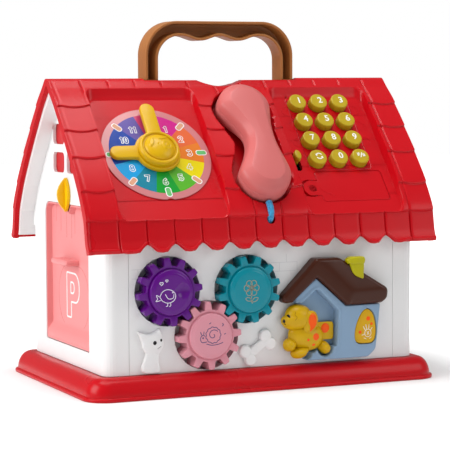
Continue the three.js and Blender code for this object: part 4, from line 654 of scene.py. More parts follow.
section_y = np.broadcast_to(np.concatenate([loop_deep, loop_deep[::-1]])[None], section.shape[:2])
handle_rings = np.stack([section[..., 0], section_y, section[..., 1]], -1)
handle_parts = [stack(handle_rings)]
foot_turn = np.linspace(0, np.pi, 24)
foot_line = np.vstack([
    [(handle_back, channel_foot), (handle_front, channel_foot)],
    (7.0, pivot_up) - 9.0 * toward(foot_turn)])
for side in (-1, 1):
    foot_x = side * (handle_half - handle_leg / 2)
    foot_rings = [np.column_stack([
        np.full(len(foot_line), foot_x + side * u * handle_leg / 2),
        7.0 + (foot_line[:, 0] - 7.0) * k, 238.0 + (foot_line[:, 1] - 238.0) * k])
        for u, k in (
            (-1.0, 0.93), (-0.93, 0.98), (-0.84, 1.0), (0.84, 1.0), (0.93, 0.98), (1.0, 0.93))]
    handle_parts.append(stack(foot_rings))


def assemble(name, parts, sharp=38.0, placed=None, material=None):
    """One object from closed skins, each given as points, faces and its material, or just
    points and faces where all have the one material. placed brings the points to the house."""
    materials = []
    points, faces, finish = [], [], []
    for part_points, part_faces, *own in parts:
        finish_material = own[0] if own else material
        if finish_material not in materials:
            materials.append(finish_material)
        start = sum(len(p) for p in points)
        points.append(placed(part_points) if placed else np.asarray(part_points, float))
        faces += [[start + i for i in face] for face in part_faces]
        finish += [materials.index(finish_material)] * len(part_faces)
    obj = make_piece(name, np.vstack(points), faces, None, sharp)
    for finish_material in materials:
        obj.data.materials.append(finish_material)
    obj.data.polygons.foreach_set("material_index", finish)
    return obj


handle = assemble("handle_channel", handle_parts, 35, material=brown_plastic)
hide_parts("handle")
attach(handle, "handle")

# Clock dial
# A printed plastic disc glued in the left pan: a pale ring with eight pill-shaped marks
# and, inside it, twelve sectors in rainbow order, each with its hour in a white outline.
clock_x, clock_t, dial_radius, sector_radius = -76.25, 63.0, 45.0, 39.0


def on_slope(points):
    """Places given along the ridge, up the slope and out of it, brought to the house."""
    p = np.asarray(points, float)
    y = slope_foot[0] + p[:, 1] * slope_along[0] + p[:, 2] * slope_out[0]
    z = slope_foot[1] + p[:, 1] * slope_along[1] + p[:, 2] * slope_out[1]
    return np.stack([p[:, 0], y, z], -1)


def inset(outline, distance):
    """A closed anticlockwise outline moved inward: each point goes along the mean of the
    normals of its two sides, further at a corner."""
    before = outline - np.roll(outline, 1, axis=0)
    after = np.roll(outline, -1, axis=0) - outline
    before /= np.maximum(np.linalg.norm(before, axis=1), 1e-9)[:, None]
    after /= np.maximum(np.linalg.norm(after, axis=1), 1e-9)[:, None]
    normal = np.stack([-(before + after)[:, 1], (before + after)[:, 0]], -1)
    normal /= np.maximum(np.linalg.norm(normal, axis=1), 1e-9)[:, None]
    side = np.stack([-before[:, 1], before[:, 0]], -1)
    return outline + normal * (distance / np.maximum((normal * side).sum(1), 0.5))[:, None]


def slab(outline, low, high, edge=0.0, foot_edge=0.0, steps=5):
    """Points and faces of a flat piece with the given outline, whose upper rim is rounded
    with the radius edge, and its lower rim with foot_edge."""
    rings = []
    turn = np.linspace(0, np.pi / 2, steps)
    if foot_edge:
        rings += [(foot_edge * (1 - np.sin(a)), low + foot_edge * (1 - np.cos(a))) for a in turn]
    else:
        rings.append((0.0, low))
    if edge:
        rings += [(edge * (1 - np.cos(a)), high - edge * (1 - np.sin(a))) for a in turn]
    else:
        rings.append((0.0, high))
    return stack([
        np.column_stack([inset(outline, q) if q else outline, np.full(len(outline), h)])
        for q, h in rings])


def beside_line(line, closed=False):
    """Unit vectors square to a flat line, to its left."""
    if closed:
        ahead = np.roll(line, -1, axis=0) - np.roll(line, 1, axis=0)
    else:
        ahead = np.gradient(line, axis=0)
    ahead /= np.maximum(np.linalg.norm(ahead, axis=1), 1e-9)[:, None]
    return np.stack([-ahead[:, 1], ahead[:, 0]], -1)


def ribbon(line, half, low, high, closed=False):
    """A flat printed line: a rectangular section carried along a path."""
    line = np.asarray(line, float)
    side = beside_line(line, closed) * half
    rings = np.stack([at_height(line + side, low), at_height(line - side, low),
                      at_height(line - side, high), at_height(line + side, high)], axis=1)
    count = len(line)
    if closed:
        return rings.reshape(-1, 3), (net(count + 1, 4, around=True) % (4 * count)).tolist()
    ends = [[3, 2, 1, 0], [4 * count - 4 + i for i in range(4)]]
    return rings.reshape(-1, 3), net(count, 4, around=True).tolist() + ends


oval_turn = np.linspace(0, 2 * np.pi, 25)


def oval(level, half_high, half_wide):
    """A closed oval of a numeral, its ends at the same place."""
    return (0.0, level) + (half_wide, half_high) * toward(oval_turn)


# A pen's paths for each digit, two units wide and a little over three high.
numeral_paths = {
    "0": [oval(0.0, 1.6, 0.95)],
    "1": [[(-0.55, 1.05), (0.1, 1.6)], [(0.1, 1.6), (0.1, -1.6)]],
    "2": [through([(-0.95, 0.9), (-0.55, 1.45), (0.15, 1.6), (0.85, 1.15), (0.75, 0.35),
                   (-0.1, -0.7), (-1.0, -1.55)], 5), [(-1.0, -1.6), (1.0, -1.6)]],
    "3": [through([(-0.9, 1.3), (-0.1, 1.6), (0.8, 1.15), (0.65, 0.35), (-0.1, 0.1)], 5),
          through([(-0.1, 0.1), (0.75, -0.15), (1.0, -0.85), (0.4, -1.5), (-0.4, -1.55),
                   (-1.0, -1.15)], 5)],
    "4": [[(0.45, -1.6), (0.45, 1.6)], [(0.45, 1.6), (-1.05, -0.6)], [(-1.05, -0.6), (1.15, -0.6)]],
    "5": [[(0.85, 1.6), (-0.7, 1.6)], [(-0.7, 1.6), (-0.85, 0.25)],
          through([(-0.85, 0.25), (0.1, 0.45), (0.9, -0.1), (0.85, -1.0), (0.1, -1.6),
                   (-0.95, -1.25)], 5)],
    "6": [oval(-0.7, 0.9, 0.95), through([(-0.95, -0.6), (-0.7, 0.5), (-0.1, 1.2), (0.6, 1.6)], 5)],
    "7": [[(-0.95, 1.6), (0.95, 1.6)], [(0.95, 1.6), (-0.25, -1.6)]],
    "8": [oval(0.85, 0.75, 0.8), oval(-0.75, 0.85, 0.95)],
}
numeral_paths["9"] = [-np.asarray(path) for path in numeral_paths["6"]]


numeral_size, numeral_reach, numeral_pitch = 1.6, 27.8, 3.5
white_half, colour_half = 1.0, 0.42


def numeral_lines(digit, half, wide):
    """The pen lines of a digit, those with free ends made longer by a little less than half."""
    for path in numeral_paths[digit]:
        line = numeral_size * np.asarray(path, float) * (wide, 1.0)
        if np.allclose(line[0], line[-1]):
            yield line[:-1], True
        else:
            ends = np.array([line[0] - line[1], line[-1] - line[-2]])
            ends *= (half - 0.25) / np.linalg.norm(ends, axis=1)[:, None]
            yield np.vstack([line[0] + ends[0], line, line[-1] + ends[1]]), False


dial_turn = np.linspace(0, 2 * np.pi, 181)[:-1]
dial_notch = 1.3 * np.exp(-((dial_turn - 1.5 * np.pi) / 0.045) ** 4)
dial_outline = (clock_x, clock_t) + (dial_radius - dial_notch)[:, None] * toward(dial_turn)
ring_print = moulded("dial_ring_print", (0.58, 0.20, 0.21), roughness=0.22, coat=0.6, cloud=0.02)
white_print = moulded("white_print", (0.85, 0.85, 0.84), roughness=0.35, coat=0.3, cloud=0.02)
sector_colours = {
    12: (0.60, 0.06, 0.17), 1: (0.60, 0.006, 0.24), 2: (0.72, 0.13, 0.035), 3: (0.72, 0.19, 0.015),
    4: (0.75, 0.62, 0.0), 5: (0.09, 0.40, 0.02), 6: (0.0, 0.30, 0.022), 7: (0.0, 0.20, 0.30),
    8: (0.0, 0.30, 0.65), 9: (0.0, 0.045, 0.30), 10: (0.0, 0.045, 0.34), 11: (0.115, 0.08, 0.35),
}
dial_parts = [(*slab(dial_outline, 0.3, 1.0, 0.25), ring_print)]
pill_green = moulded("green_print", (0.13, 0.48, 0.15), roughness=0.25, coat=0.5, cloud=0.02)
pill_peach = moulded("peach_print", (0.66, 0.33, 0.20), roughness=0.25, coat=0.5, cloud=0.02)
for hour in range(1, 13):
    print_colour = moulded(
        f"hour_{hour}_print", sector_colours[hour], roughness=0.22, coat=0.6, cloud=0.02)
    middle = np.radians(90 - 30 * hour)
    arc = np.linspace(middle - np.radians(15), middle + np.radians(15), 16)
    wedge = (clock_x, clock_t) + np.vstack([[(0.0, 0.0)], sector_radius * toward(arc)])
    dial_parts.append((*stack([at_height(wedge, h) for h in (0.9, 1.06)]), print_colour))
    for half, high, ink in ((white_half, 1.12, white_print), (colour_half, 1.18, print_colour)):
        for place, digit in enumerate(str(hour)):
            centre = (clock_x, clock_t) + numeral_reach * toward(middle)
            centre[0] += numeral_pitch * (place - (hour > 9) / 2)
            for line, whole in numeral_lines(digit, half, 0.8 if hour > 9 else 1.0):
                dial_parts.append((*ribbon(line + centre, half, 1.0, high, whole), ink))
pill, pill_reach = rounded_box(-4.65, 4.65, -2.6, 2.6, 2.3, 8), 37.9
for mark in range(8):
    turn = np.radians(45 * mark)
    spin = np.array([toward(turn), toward(turn + np.pi / 2)])
    pill_ink = pill_peach if mark % 2 else pill_green
    for border, high, ink in ((0.0, 1.14, white_print), (0.7, 1.2, pill_ink)):
        place = (inset(pill, border) + (pill_reach, 0.0)) @ spin + (clock_x, clock_t)
        dial_parts.append((*slab(place, 1.0, high), ink))
clock_dial = assemble("clock_dial_printed", dial_parts, placed=on_slope)
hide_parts("clock_dial")
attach(clock_dial, "house")

# Clock hands
# Two yellow mouldings turn on one steel spindle. The hour hand lies below, and the minute
# hand above it carries a ring and a domed boss with the face of a small animal.
yellow_plastic = moulded(
    "yellow_moulding", (0.66, 0.39, 0.002), roughness=0.33, coat=0.3, cloud=0.05, glow=0.05)


def hand_outline(hub, reach, half, heading):
    """A round hub with one straight arm: the larger, softly blended, of the hub's radius
    and of the distance to the arm's sides or to its round end, at each angle."""
    near = np.concatenate([
        np.linspace(0, 0.16, 30), np.linspace(0.17, 0.6, 50), np.linspace(0.63, np.pi, 70)])
    angle = np.concatenate([-near[:0:-1], near])
    swing = np.maximum(np.abs(angle), 1e-6)
    end = reach - half
    to_end = end * np.cos(swing) + np.sqrt(np.maximum(half**2 - (end * np.sin(swing)) ** 2, 0))
    to_side = half / np.sin(np.clip(swing, 1e-6, np.pi / 2))
    arm = np.where(half / np.tan(np.clip(swing, 1e-6, np.pi / 2 - 1e-6)) > end, to_end, to_side)
    arm = np.where(swing < np.pi / 2, arm, half)
    radius = (hub**16 + arm**16) ** (1 / 16)
    radius = np.where(swing < 0.25, np.maximum(arm, 0), radius)
    return (clock_x, clock_t) + radius[1:, None] * toward(angle[1:] + heading)


hand_half, hand_edge, hand_foot_edge = 6.0, 1.1, 0.3
hour_hand = assemble("hour_hand_arm", [
    slab(hand_outline(18.5, 39.5, hand_half, np.pi), 1.3, 4.9, hand_edge, hand_foot_edge),
], 50, on_slope, yellow_plastic)
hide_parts("hour_hand")
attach(hour_hand, "hour_hand")
boss_turn = np.linspace(0, 2 * np.pi, 97)[:-1]
boss_radii = np.concatenate([np.linspace(12.9, 11.6, 6), np.linspace(11.2, 0.35, 32)])
boss_base, boss_rise, boss_reach, boss_top = 8.3, 5.3, 12.6, 13.8
boss_x, boss_t = np.moveaxis(boss_radii[:, None, None] * toward(boss_turn), -1, 0)
boss_dome = np.sqrt(np.maximum(1 - (boss_radii / boss_reach) ** 2, 0))
boss_h = boss_base + boss_rise * boss_dome[:, None] + 0 * boss_x


def leaf(x, t, middle_x, middle_t, turn, half_long, half_wide):
    """1 inside a pointed leaf and 0 outside it, with a soft edge: a leaf is where the
    distance across is less than the half width times one less the square of the share
    along it."""
    along = (x - middle_x) * np.cos(turn) + (t - middle_t) * np.sin(turn)
    across = -(x - middle_x) * np.sin(turn) + (t - middle_t) * np.cos(turn)
    room = half_wide * (1 - (along / half_long) ** 2)
    return smooth_step(-0.25, 0.45, room - np.abs(across))


for ear_place in ((-7.2, 2.6, 1.25, 4.6, 1.9), (3.4, 7.0, 0.35, 4.8, 1.9)):
    boss_h = boss_h + 0.8 * leaf(boss_x, boss_t, *ear_place)
snout = np.hypot(boss_x - 5.6, boss_t + 0.6)
boss_h = boss_h + 0.5 * smooth_step(5.2, 4.4, snout) - 0.45 * np.exp(-((snout - 2.2) / 0.45) ** 2)
boss_h = boss_h - 0.35 * np.exp(-(np.hypot(boss_x + 1.6, boss_t - 0.4) / 0.8) ** 2)
boss_rings = np.stack([clock_x + boss_x, clock_t + boss_t, np.minimum(boss_h, boss_top)], -1)
boss_foot = boss_rings[:1] * (1, 1, 0) + (0, 0, 7.0)
rim_radius, rim_level, rim_half_wide, rim_half_high = 14.8, 8.6, 1.55, 1.5
rim_rings = np.asarray([
    at_height((clock_x, clock_t) + (rim_radius + rim_half_wide * wide) * toward(boss_turn),
              rim_level + rim_half_high * up)
    for wide, up in toward(np.linspace(0, 2 * np.pi, 25)[:-1])])
rim_faces = net(25, len(boss_turn), around=True) % (24 * len(boss_turn))
minute_hand = assemble("minute_hand_arm", [
    slab(hand_outline(16.6, 45.0, hand_half, np.pi / 2), 5.2, 8.8, hand_edge, hand_foot_edge),
    stack(np.concatenate([boss_foot, boss_rings])), (rim_rings.reshape(-1, 3), rim_faces.tolist()),
], 50, on_slope, yellow_plastic)
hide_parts("minute_hand")
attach(minute_hand, "minute_hand")

# Telephone handset
# Two pink shells snap together along a seam. The upper one has a flat back with a soft
# crease round it, and the lower one is drawn up at the waist, so a hand can get under it.
pink_plastic = moulded(
    "pink_moulding", (0.58, 0.145, 0.14), roughness=0.38, coat=0.12, cloud=0.03, glow=0.08)
ear_radius, mouth_radius, waist_half = 21.7, 21.5, 12.0
seam_level, belly_depth, waist_rise = 8.85, 11.25, 6.5


def waisted(ear, mouth, waist):
    """The handset's outline and the point of its spine that each place belongs to: round
    ends joined by sides whose half width is a smooth curve through the waist."""
    side_t = np.linspace(mouth_middle[1], ear_middle[1], 48)
    share = (side_t - mouth_middle[1]) / (ear_middle[1] - mouth_middle[1])
    spine_x = through([mouth_middle, waist_middle, ear_middle], 60)
    middle = np.interp(side_t, spine_x[:, 1], spine_x[:, 0])
    dip = np.sin(np.pi * share) ** 1.35
    half = (mouth + (ear - mouth) * share) * (1 - dip) + waist * dip
    right = np.stack([middle + half, side_t], -1)
    left = np.stack([middle - half, side_t], -1)[::-1]
    cap = np.linspace(0, np.pi, 40)[1:-1]
    top = ear_middle + ear * toward(cap)
    foot = mouth_middle - mouth * toward(cap)
    spine = np.concatenate([np.stack([middle, side_t], -1), np.broadcast_to(ear_middle, top.shape),
                            np.stack([middle, side_t], -1)[::-1],
                            np.broadcast_to(mouth_middle, foot.shape)])
    return np.concatenate([right, top, left, foot]), spine


handset_outline, handset_spine = waisted(ear_radius, mouth_radius, waist_half)
waist_near = np.exp(-((handset_outline[:, 1] - waist_middle[1]) / 17.0) ** 2)
back_profile = np.array([
    (1.0, 9.15), (1.0, 10.5), (0.995, 12.2), (0.985, 13.8), (0.968, 15.1), (0.945, 16.1),
    (0.92, 16.8), (0.90, 17.25), (0.80, 18.75), (0.70, 20.25), (0.645, 21.05), (0.63, 21.2),
    (0.61, 21.28), (0.45, 21.52), (0.30, 21.72), (0.12, 21.9)])
belly_profile = np.array([
    (0.80, -2.4), (0.88, -2.2), (0.94, -1.5), (0.975, -0.3), (0.99, 1.2), (1.0, 4.0), (1.0, 7.6),
    (0.995, 8.6), (0.985, 8.85)])


def handset_rings(profile_line, lifted):
    """Rings that shrink toward the spine by the profile's first column, at the heights of
    its second. A lifted one rises at the waist, less and less up to the seam."""
    share, height = profile_line[:, :1], profile_line[:, 1:]
    place = handset_spine[None] + share[:, :, None] * (handset_outline - handset_spine)[None]
    rise = 0.0
    if lifted:
        rise = waist_rise * waist_near * np.clip((seam_level - height) / belly_depth, 0, 1)
    return np.concatenate([place, (height + rise + 0 * place[..., 0])[..., None]], -1)


handset_back = assemble(
    "handset_upper_back", [stack(handset_rings(back_profile, False))], 60, on_slope, pink_plastic)
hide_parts("handset_upper_shell")
handset_belly = assemble(
    "handset_lower_belly", [stack(handset_rings(belly_profile, True))], 60, on_slope, pink_plastic)
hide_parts("handset_lower_shell")
for shell in (handset_back, handset_belly):
    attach(shell, "handset")

# Keys
# Twelve olive-yellow keys stand through holes in the right pan, on one silicone mat. Their
# signs are printed in white.
olive_plastic = moulded(
    "olive_moulding", (0.46, 0.33, 0.012), roughness=0.36, coat=0.22, cloud=0.05, glow=0.05)
key_print = moulded("key_print", (0.85, 0.85, 0.80), roughness=0.4, coat=0.1, cloud=0.02)
key_radius, key_top, key_edge = 7.4, 6.2, 0.9
key_columns, key_rows = (60.5, 79.8, 99.1), (111.05, 91.55, 72.05, 52.55)
hole_radius = 7.75


def lettering(words, size, bold, low, high):
    """Points and faces of flat lettering, centred, from the height low to high."""
    script = bpy.data.curves.new("lettering", "FONT")
    script.body, script.size, script.offset = words, size, bold
    script.extrude = (high - low) / 2
    script.align_x, script.align_y = "CENTER", "CENTER"
    script.resolution_u = 5
    holder = bpy.data.objects.new("lettering", script)
    mesh = bpy.data.meshes.new_from_object(holder)
    points = np.empty(3 * len(mesh.vertices))
    mesh.vertices.foreach_get("co", points)
    points = points.reshape(-1, 3)
    faces = [list(p.vertices) for p in mesh.polygons]
    bpy.data.objects.remove(holder)
    bpy.data.curves.remove(script)
    bpy.data.meshes.remove(mesh)
    points[:, :2] -= (points[:, :2].max(0) + points[:, :2].min(0)) / 2
    points[:, 2] += (low + high) / 2
    return points, faces


def ring_line(x, z, radius_x, radius_z=None, start=0.0, end=2 * np.pi, steps=40, wobble=0.0,
              waves=0):
    """A circle or an arc of one as places, with a wavy radius if asked."""
    turn = np.linspace(start, end, steps + 1)
    full = abs(end - start - 2 * np.pi) < 1e-6
    turn = turn[:-1] if full else turn
    wave = 1 + wobble * np.cos(waves * turn)
    return (x, z) + np.array((radius_x, radius_z or radius_x)) * wave[:, None] * toward(turn)


def arrow_ring(radius, width, start, end):
    """An arc of a ring with a pointed head at its end, as one closed outline."""
    turn = np.linspace(start, end, 20)
    outer = (radius + width / 2) * toward(turn)
    inner = (radius - width / 2) * toward(turn)[::-1]
    head = [
        (radius + 1.25) * toward(end), radius * toward(end + 0.62), (radius - 1.25) * toward(end)]
    return np.vstack([outer, head, inner])


def bar(x0, t0, x1, t1, half):
    """A straight bar with square ends from one place to another, as a closed outline."""
    ahead = np.array([x1 - x0, t1 - t0]) / np.hypot(x1 - x0, t1 - t0)
    side = np.array([-ahead[1], ahead[0]]) * half
    a, b = np.array([x0, t0]), np.array([x1, t1])
    return np.array([a - side, b - side, b + side, a + side])


key_profile = [
    (key_radius, -2.6), (key_radius, key_top - key_edge),
    *((key_radius, key_top) - key_edge * (1 - toward(np.radians((22, 45, 67, 90))))),
    (key_radius - 1.6, key_top - 0.02), (2.0, key_top - 0.12)]
print_low, print_high = key_top - 0.2, key_top + 0.05
mode_bars = [
    (-3.4, 2.2, -3.0, -1.0), (-1.9, 2.4, -2.3, -0.6), (-3.6, 1.2, -1.4, 1.5),
    (-1.2, -2.4, 0.9, 2.6), (1.0, -1.4, 3.2, -1.0), (1.0, -0.4, 3.2, 0.0), (1.0, 0.6, 2.8, 1.0)]
key_signs = [*"123456789", "repeat", "0", "mode"]
for index, sign in enumerate(key_signs):
    key_x, key_t = key_columns[index % 3], key_rows[index // 3]
    key_rings = [at_height(ring_line(key_x, key_t, r, steps=64), h) for r, h in key_profile]
    key_parts = [(*stack(key_rings), olive_plastic)]
    if sign == "repeat":
        for a in (0.5, 0.5 + np.pi):
            arrow = arrow_ring(2.7, 0.95, a, a + 2.0) + (key_x + 0.9, key_t + 0.7)
            key_parts.append((*slab(arrow, print_low, print_high), key_print))
    elif sign == "mode":
        for ends in mode_bars:
            stroke = bar(*ends, 0.38) + (key_x + 0.9, key_t + 0.9)
            key_parts.append((*slab(stroke, print_low, print_high), key_print))
    else:
        figure, figure_faces = lettering(sign, 8.2, 0.16, print_low, print_high)
        figure[:, :2] += (key_x + 1.2, key_t + 0.9)
        key_parts.append((figure, figure_faces, key_print))
    key = assemble(f"key_{sign}_cap", key_parts, 40, on_slope)
    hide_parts(f"key_{sign}")
    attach(key, f"key_{sign}")

# Power switch
# A small olive slider in a slot beside the keys, egg-shaped with a lip that hangs over.
switch_x, switch_t, switch_half, switch_half_long = 43.0, 55.4, 2.8, 4.9
slide_rings = []
for share, height in ((0.86, -3.4), (0.86, 0.2), (0.9, 1.2), (1.0, 2.6), (1.02, 4.4), (0.97, 5.6),
                      (0.86, 6.2), (0.6, 6.45), (0.3, 6.5)):
    lean = -1.0 * smooth_step(0.5, 3.5, height)
    slide_rings.append(at_height(ring_line(
        switch_x, switch_t + lean * (1 - share), switch_half * share, switch_half_long * share,
        steps=48), height))
power_switch = assemble(
    "power_switch_slider", [stack(slide_rings)], 60, on_slope, olive_plastic)
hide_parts("power_switch")
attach(power_switch, "power_switch")

# Battery door
# A thin red cover lies flush in its recess in the right pan. Its round tab takes a small
# steel screw in a sunk hole, with a screwdriver sign beside it.
door_low, door_high, door_foot, door_head = 55.0, 115.0, 12.0, 41.5
tab_x, tab_t, tab_radius = 48.8, 25.3, 7.5


def battery_outline(grow):
    """The cover's outline: a rectangle with round corners and, on its left side, a tab
    with a round end, grown all round by the same amount."""
    corner = np.linspace(0, np.pi / 2, 8)
    round_off = 2.5 + grow
    arc = round_off * toward(corner)
    low, high, foot, top = door_low - grow, door_high + grow, door_foot - grow, door_head + grow
    upper_right = arc + (high - round_off, top - round_off)
    upper_left = arc @ np.array([[0, 1], [-1, 0]]) + (low + round_off, top - round_off)
    lower_left = arc @ np.array([[-1, 0], [0, -1]]) + (low + round_off, foot + round_off)
    lower_right = arc @ np.array([[0, -1], [1, 0]]) + (high - round_off, foot + round_off)
    reach = tab_radius + grow
    tab = (tab_x, tab_t) + reach * toward(np.linspace(np.pi / 2, 1.5 * np.pi, 24))
    return np.vstack([upper_right, upper_left, [(low, tab_t + reach)], tab,
                      [(low, tab_t - reach)], lower_left, lower_right])


def cut(piece, cores, sharp):
    """Takes the shape of the cores out of a piece, as a mould's cores do."""
    tool = piece.modifiers.new("openings", "BOOLEAN")
    tool.operation, tool.solver, tool.object = "DIFFERENCE", "MANIFOLD", cores
    mesh = bpy.data.meshes.new_from_object(
        piece.evaluated_get(bpy.context.evaluated_depsgraph_get()))
    piece.modifiers.clear()
    piece.data = mesh
    mesh.shade_smooth()
    mesh.set_sharp_from_angle(angle=np.radians(sharp))
    bpy.data.objects.remove(cores)


screw_hole_radius = 3.3
battery_door = assemble("battery_door_cover", [
    slab(battery_outline(0.0), -1.9, -0.02, 0.3),
    slab(bar(55.5, 24.2, 62.0, 19.8, 0.28), -0.3, 0.14),
    slab(bar(61.4, 20.3, 65.4, 17.6, 0.8), -0.3, 0.2, 0.15)], 40, on_slope, red_plastic)
cut(battery_door, assemble("cover_cores", [
    slab(ring_line(tab_x, tab_t, screw_hole_radius, steps=48), -4.0, 3.0),
], placed=on_slope, material=red_plastic), 40)
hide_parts("battery_door")
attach(battery_door, "battery_door")
steel_metal = skinned("zinc_plated_steel", {
    "Colour": (0.60, 0.61, 0.63, 1), "Roughness": 0.28, "Cloud": 0.2}, {"Metallic": 1.0})
# The screw's cross recess is drawn as two black bars on its flat head: painted shade of the hollow.
cross_recess_painted_shade = moulded("screw_recess_painted_shade", (0.02, 0.02, 0.02), roughness=0.6, coat=0.0)
screw_rings = [at_height(ring_line(tab_x, tab_t, r, steps=48), h) for r, h in (
    (1.3, -8.0), (1.3, -3.4), (2.65, -3.4), (2.7, -3.0), (2.6, -2.5), (2.2, -2.22), (1.5, -2.1),
    (0.6, -2.08))]
screw_parts = [(*stack(screw_rings), steel_metal)]
for across in 1.5 * np.array([(0.8, 0.6), (-0.6, 0.8)]):
    groove = bar(*((tab_x, tab_t) - across), *((tab_x, tab_t) + across), 0.28)
    screw_parts.append((*slab(groove, -2.3, -2.03), cross_recess_painted_shade))
battery_screw = assemble("battery_door_screw_head", screw_parts, placed=on_slope)
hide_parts("battery_door_screw")
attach(battery_screw, "battery_door_screw")

# Openings in the roof
# The moulded roof has a round hole for each key, a slot for the switch, a recess for the
# battery door with a finger notch, holes for its screw and the clock's spindle, a fine groove
# round the keys, two slots for the handle's legs and a hole for the cord, cut here in one go.
cores = [
    slab(ring_line(core_x, core_t, hole_radius, steps=64), -6.0, 3.0)
    for core_t in key_rows for core_x in key_columns]
cores.append(slab(rounded_box(switch_x - 3.0, switch_x + 3.0, 43.2, 61.2, 2.9), -6.0, 3.0))
cores.append(slab(battery_outline(0.4), -2.0, 3.0))
cores.append(slab(ring_line(46.6, tab_t, 8.6, steps=64), -1.99, 3.01))
cores.append(slab(ring_line(clock_x, clock_t, 3.0, steps=64), -6.0, 3.0))
cores.append(slab(ring_line(tab_x, tab_t, screw_hole_radius, steps=64), -6.0, 2.9))
groove_line = rounded_box(53.0, 109.0, 43.6, 121.0, 4.0, 10)
groove_side = beside_line(groove_line, closed=True)
groove_core = np.stack([
    at_height(groove_line + 0.55 * beside * groove_side, 0.16 + 0.6 * up)
    for beside, up in toward(np.linspace(0, 2 * np.pi, 9)[:-1])], axis=1)
groove_faces = net(len(groove_line) + 1, 8, around=True) % (8 * len(groove_line))
cores.append((groove_core.reshape(-1, 3), groove_faces.tolist()))
core_parts = [(on_slope(p), f) for p, f in cores]
slot_middle, slot_half = 60.45, 6.65
for slot_x in (-slot_middle, slot_middle):
    slot_line = rounded_box(slot_x - slot_half, slot_x + slot_half, -3.2, 37.0, 1.5)
    core_parts.append(stack([at_height(slot_line, z) for z in (200.0, 250.0)]))
cord_hole = [(3.9, -92.0, 134.2), (4.0, -89.0, 134.2), (4.0, -85.0, 131.8), (4.0, -81.0, 129.6)]
core_parts.append(tube(through(cord_hole, 8), 3.6, 24))
cut(roof_shell, assemble("roof_cores", core_parts, material=red_plastic), 32)

# Gears
# Three glossy wheels of twelve rounded teeth turn together on steel pins in round wells.
# Each has a raised cap with a line drawing printed on it, and the purple one a finger dimple.

# For each gear its middle and the colours of its plastic and of its print.
gears = {
    "purple": ((-82.68, 81.20), (0.105, 0.002, 0.21), (0.80, 0.75, 0.85)),
    "pink": ((-50.0, 45.5), (0.68, 0.28, 0.34), (0.012, 0.05, 0.16)),
    "teal": ((-16.03, 79.97), (0.0, 0.24, 0.31), (0.36, 0.30, 0.20)),
}
teeth, gear_root, gear_tip, pink_turn = 12, 20.4, 26.75, np.radians(3.5)
gear_angle = np.linspace(0, 2 * np.pi, teeth * 28 + 1)[:-1]


wall_front = -86.0


def on_front(points):
    """Places given along the front wall, up it and out of it, brought to the house."""
    p = np.asarray(points, float)
    return np.stack([p[:, 0], wall_front - p[:, 2], p[:, 1]], -1)


def gear_radius(phase, root, tip):
    """The gear's radius at each angle: between root and tip by a smooth step of the share
    of the way from the middle of a gap to the middle of a tooth."""
    share = (gear_angle - phase) / (2 * np.pi / teeth)
    off = np.abs(share - np.round(share))
    return root + (tip - root) * smooth_step(0.315, 0.135, off)


heart_turn = np.linspace(0, 2 * np.pi, 41)[:-1]
heart = np.stack([16 * np.sin(heart_turn) ** 3, 13 * np.cos(heart_turn) - 5 * np.cos(2 * heart_turn)
                  - 2 * np.cos(3 * heart_turn) - np.cos(4 * heart_turn)], -1)[::-1] / 17.0
bird_body = through([
    (-7.5, -1.5), (-5.2, 2.4), (-1.0, 4.0), (3.4, 2.6), (5.6, -0.6), (4.2, -4.6), (-0.4, -6.4),
    (-5.0, -4.8), (-7.5, -1.5)], 8)[:-1]
spiral_turn = np.linspace(0, 6.6, 60)
# The lines of each cap's drawing, with whether they are closed.
gear_drawings = {
    "purple": [
        (bird_body + (-3.0, -1.5), True),
        (through([(-6.0, -1.0), (-3.4, -4.6), (0.4, -4.2), (1.2, -1.2)], 8), False),
        (
            through([(-10.4, -3.0), (-13.2, -1.6), (-12.4, -4.4), (-13.6, -6.2), (-9.8, -5.6)], 8),
            False),
        (ring_line(0.4, 0.2, 0.45, steps=12), True), (1.5 * heart + (-9.0, 7.2), True),
        (1.1 * heart + (-4.6, 9.2), True),
        (through([(-4.0, -8.0), (-4.2, -10.0), (-5.4, -10.4)], 6), False),
        (through([(-1.6, -8.0), (-1.6, -10.0), (-2.8, -10.6)], 6), False)],
    "pink": [
        (ring_line(1.2, 1.0, 6.2, wobble=0.05, waves=11, steps=88), True),
        ((1.2, 1.0) + (4.6 - 0.62 * spiral_turn)[:, None] * toward(spiral_turn + 0.6), False),
        (through([(-4.2, -4.0), (-8.4, -4.2), (-9.6, -1.0), (-7.6, 1.4), (-5.6, 0.4)], 8), False),
        (through([(-4.6, -5.6), (0.0, -6.8), (6.0, -6.2), (9.4, -5.0)], 8), False),
        (ring_line(-7.4, -0.9, 0.4, steps=12), True),
        (through([(-8.6, 1.4), (-9.6, 4.0)], 4), False),
        (through([(-6.8, 1.8), (-6.6, 4.2)], 4), False),
        (through([(8.6, 7.6), (9.8, 8.6), (9.0, 9.8)], 5), False),
        (through([(-2.2, 9.8), (-0.6, 10.8)], 5), False),
        (through([(10.4, 1.2), (11.8, 1.8)], 5), False)],
    "teal": [
        *[
            (ring_line(3.9 * np.cos(a), 1.6 + 3.9 * np.sin(a), 2.5, steps=28), True)
            for a in np.arange(6) * np.pi / 3],
        (ring_line(0, 1.6, 1.7, steps=24), True), (ring_line(0, 1.6, 0.6, steps=12), True),
        (through([(0.2, -4.6), (-0.5, -7.4), (0.6, -10.6)], 8), False),
        (through([(0.2, -8.6), (2.6, -6.2), (5.6, -6.4), (3.8, -8.8), (0.4, -9.4)], 8), False),
        (
            through([(-0.2, -7.4), (-2.6, -5.6), (-5.0, -6.6), (-3.2, -8.4), (-0.2, -8.6)], 8),
            False)],
}
wheel_profile = (
    (0.7, -8.6), (0.2, -8.4), (0.0, -7.8), (0.0, 6.3), (0.1, 6.8), (0.35, 7.15), (0.8, 7.36),
    (1.4, 7.4))
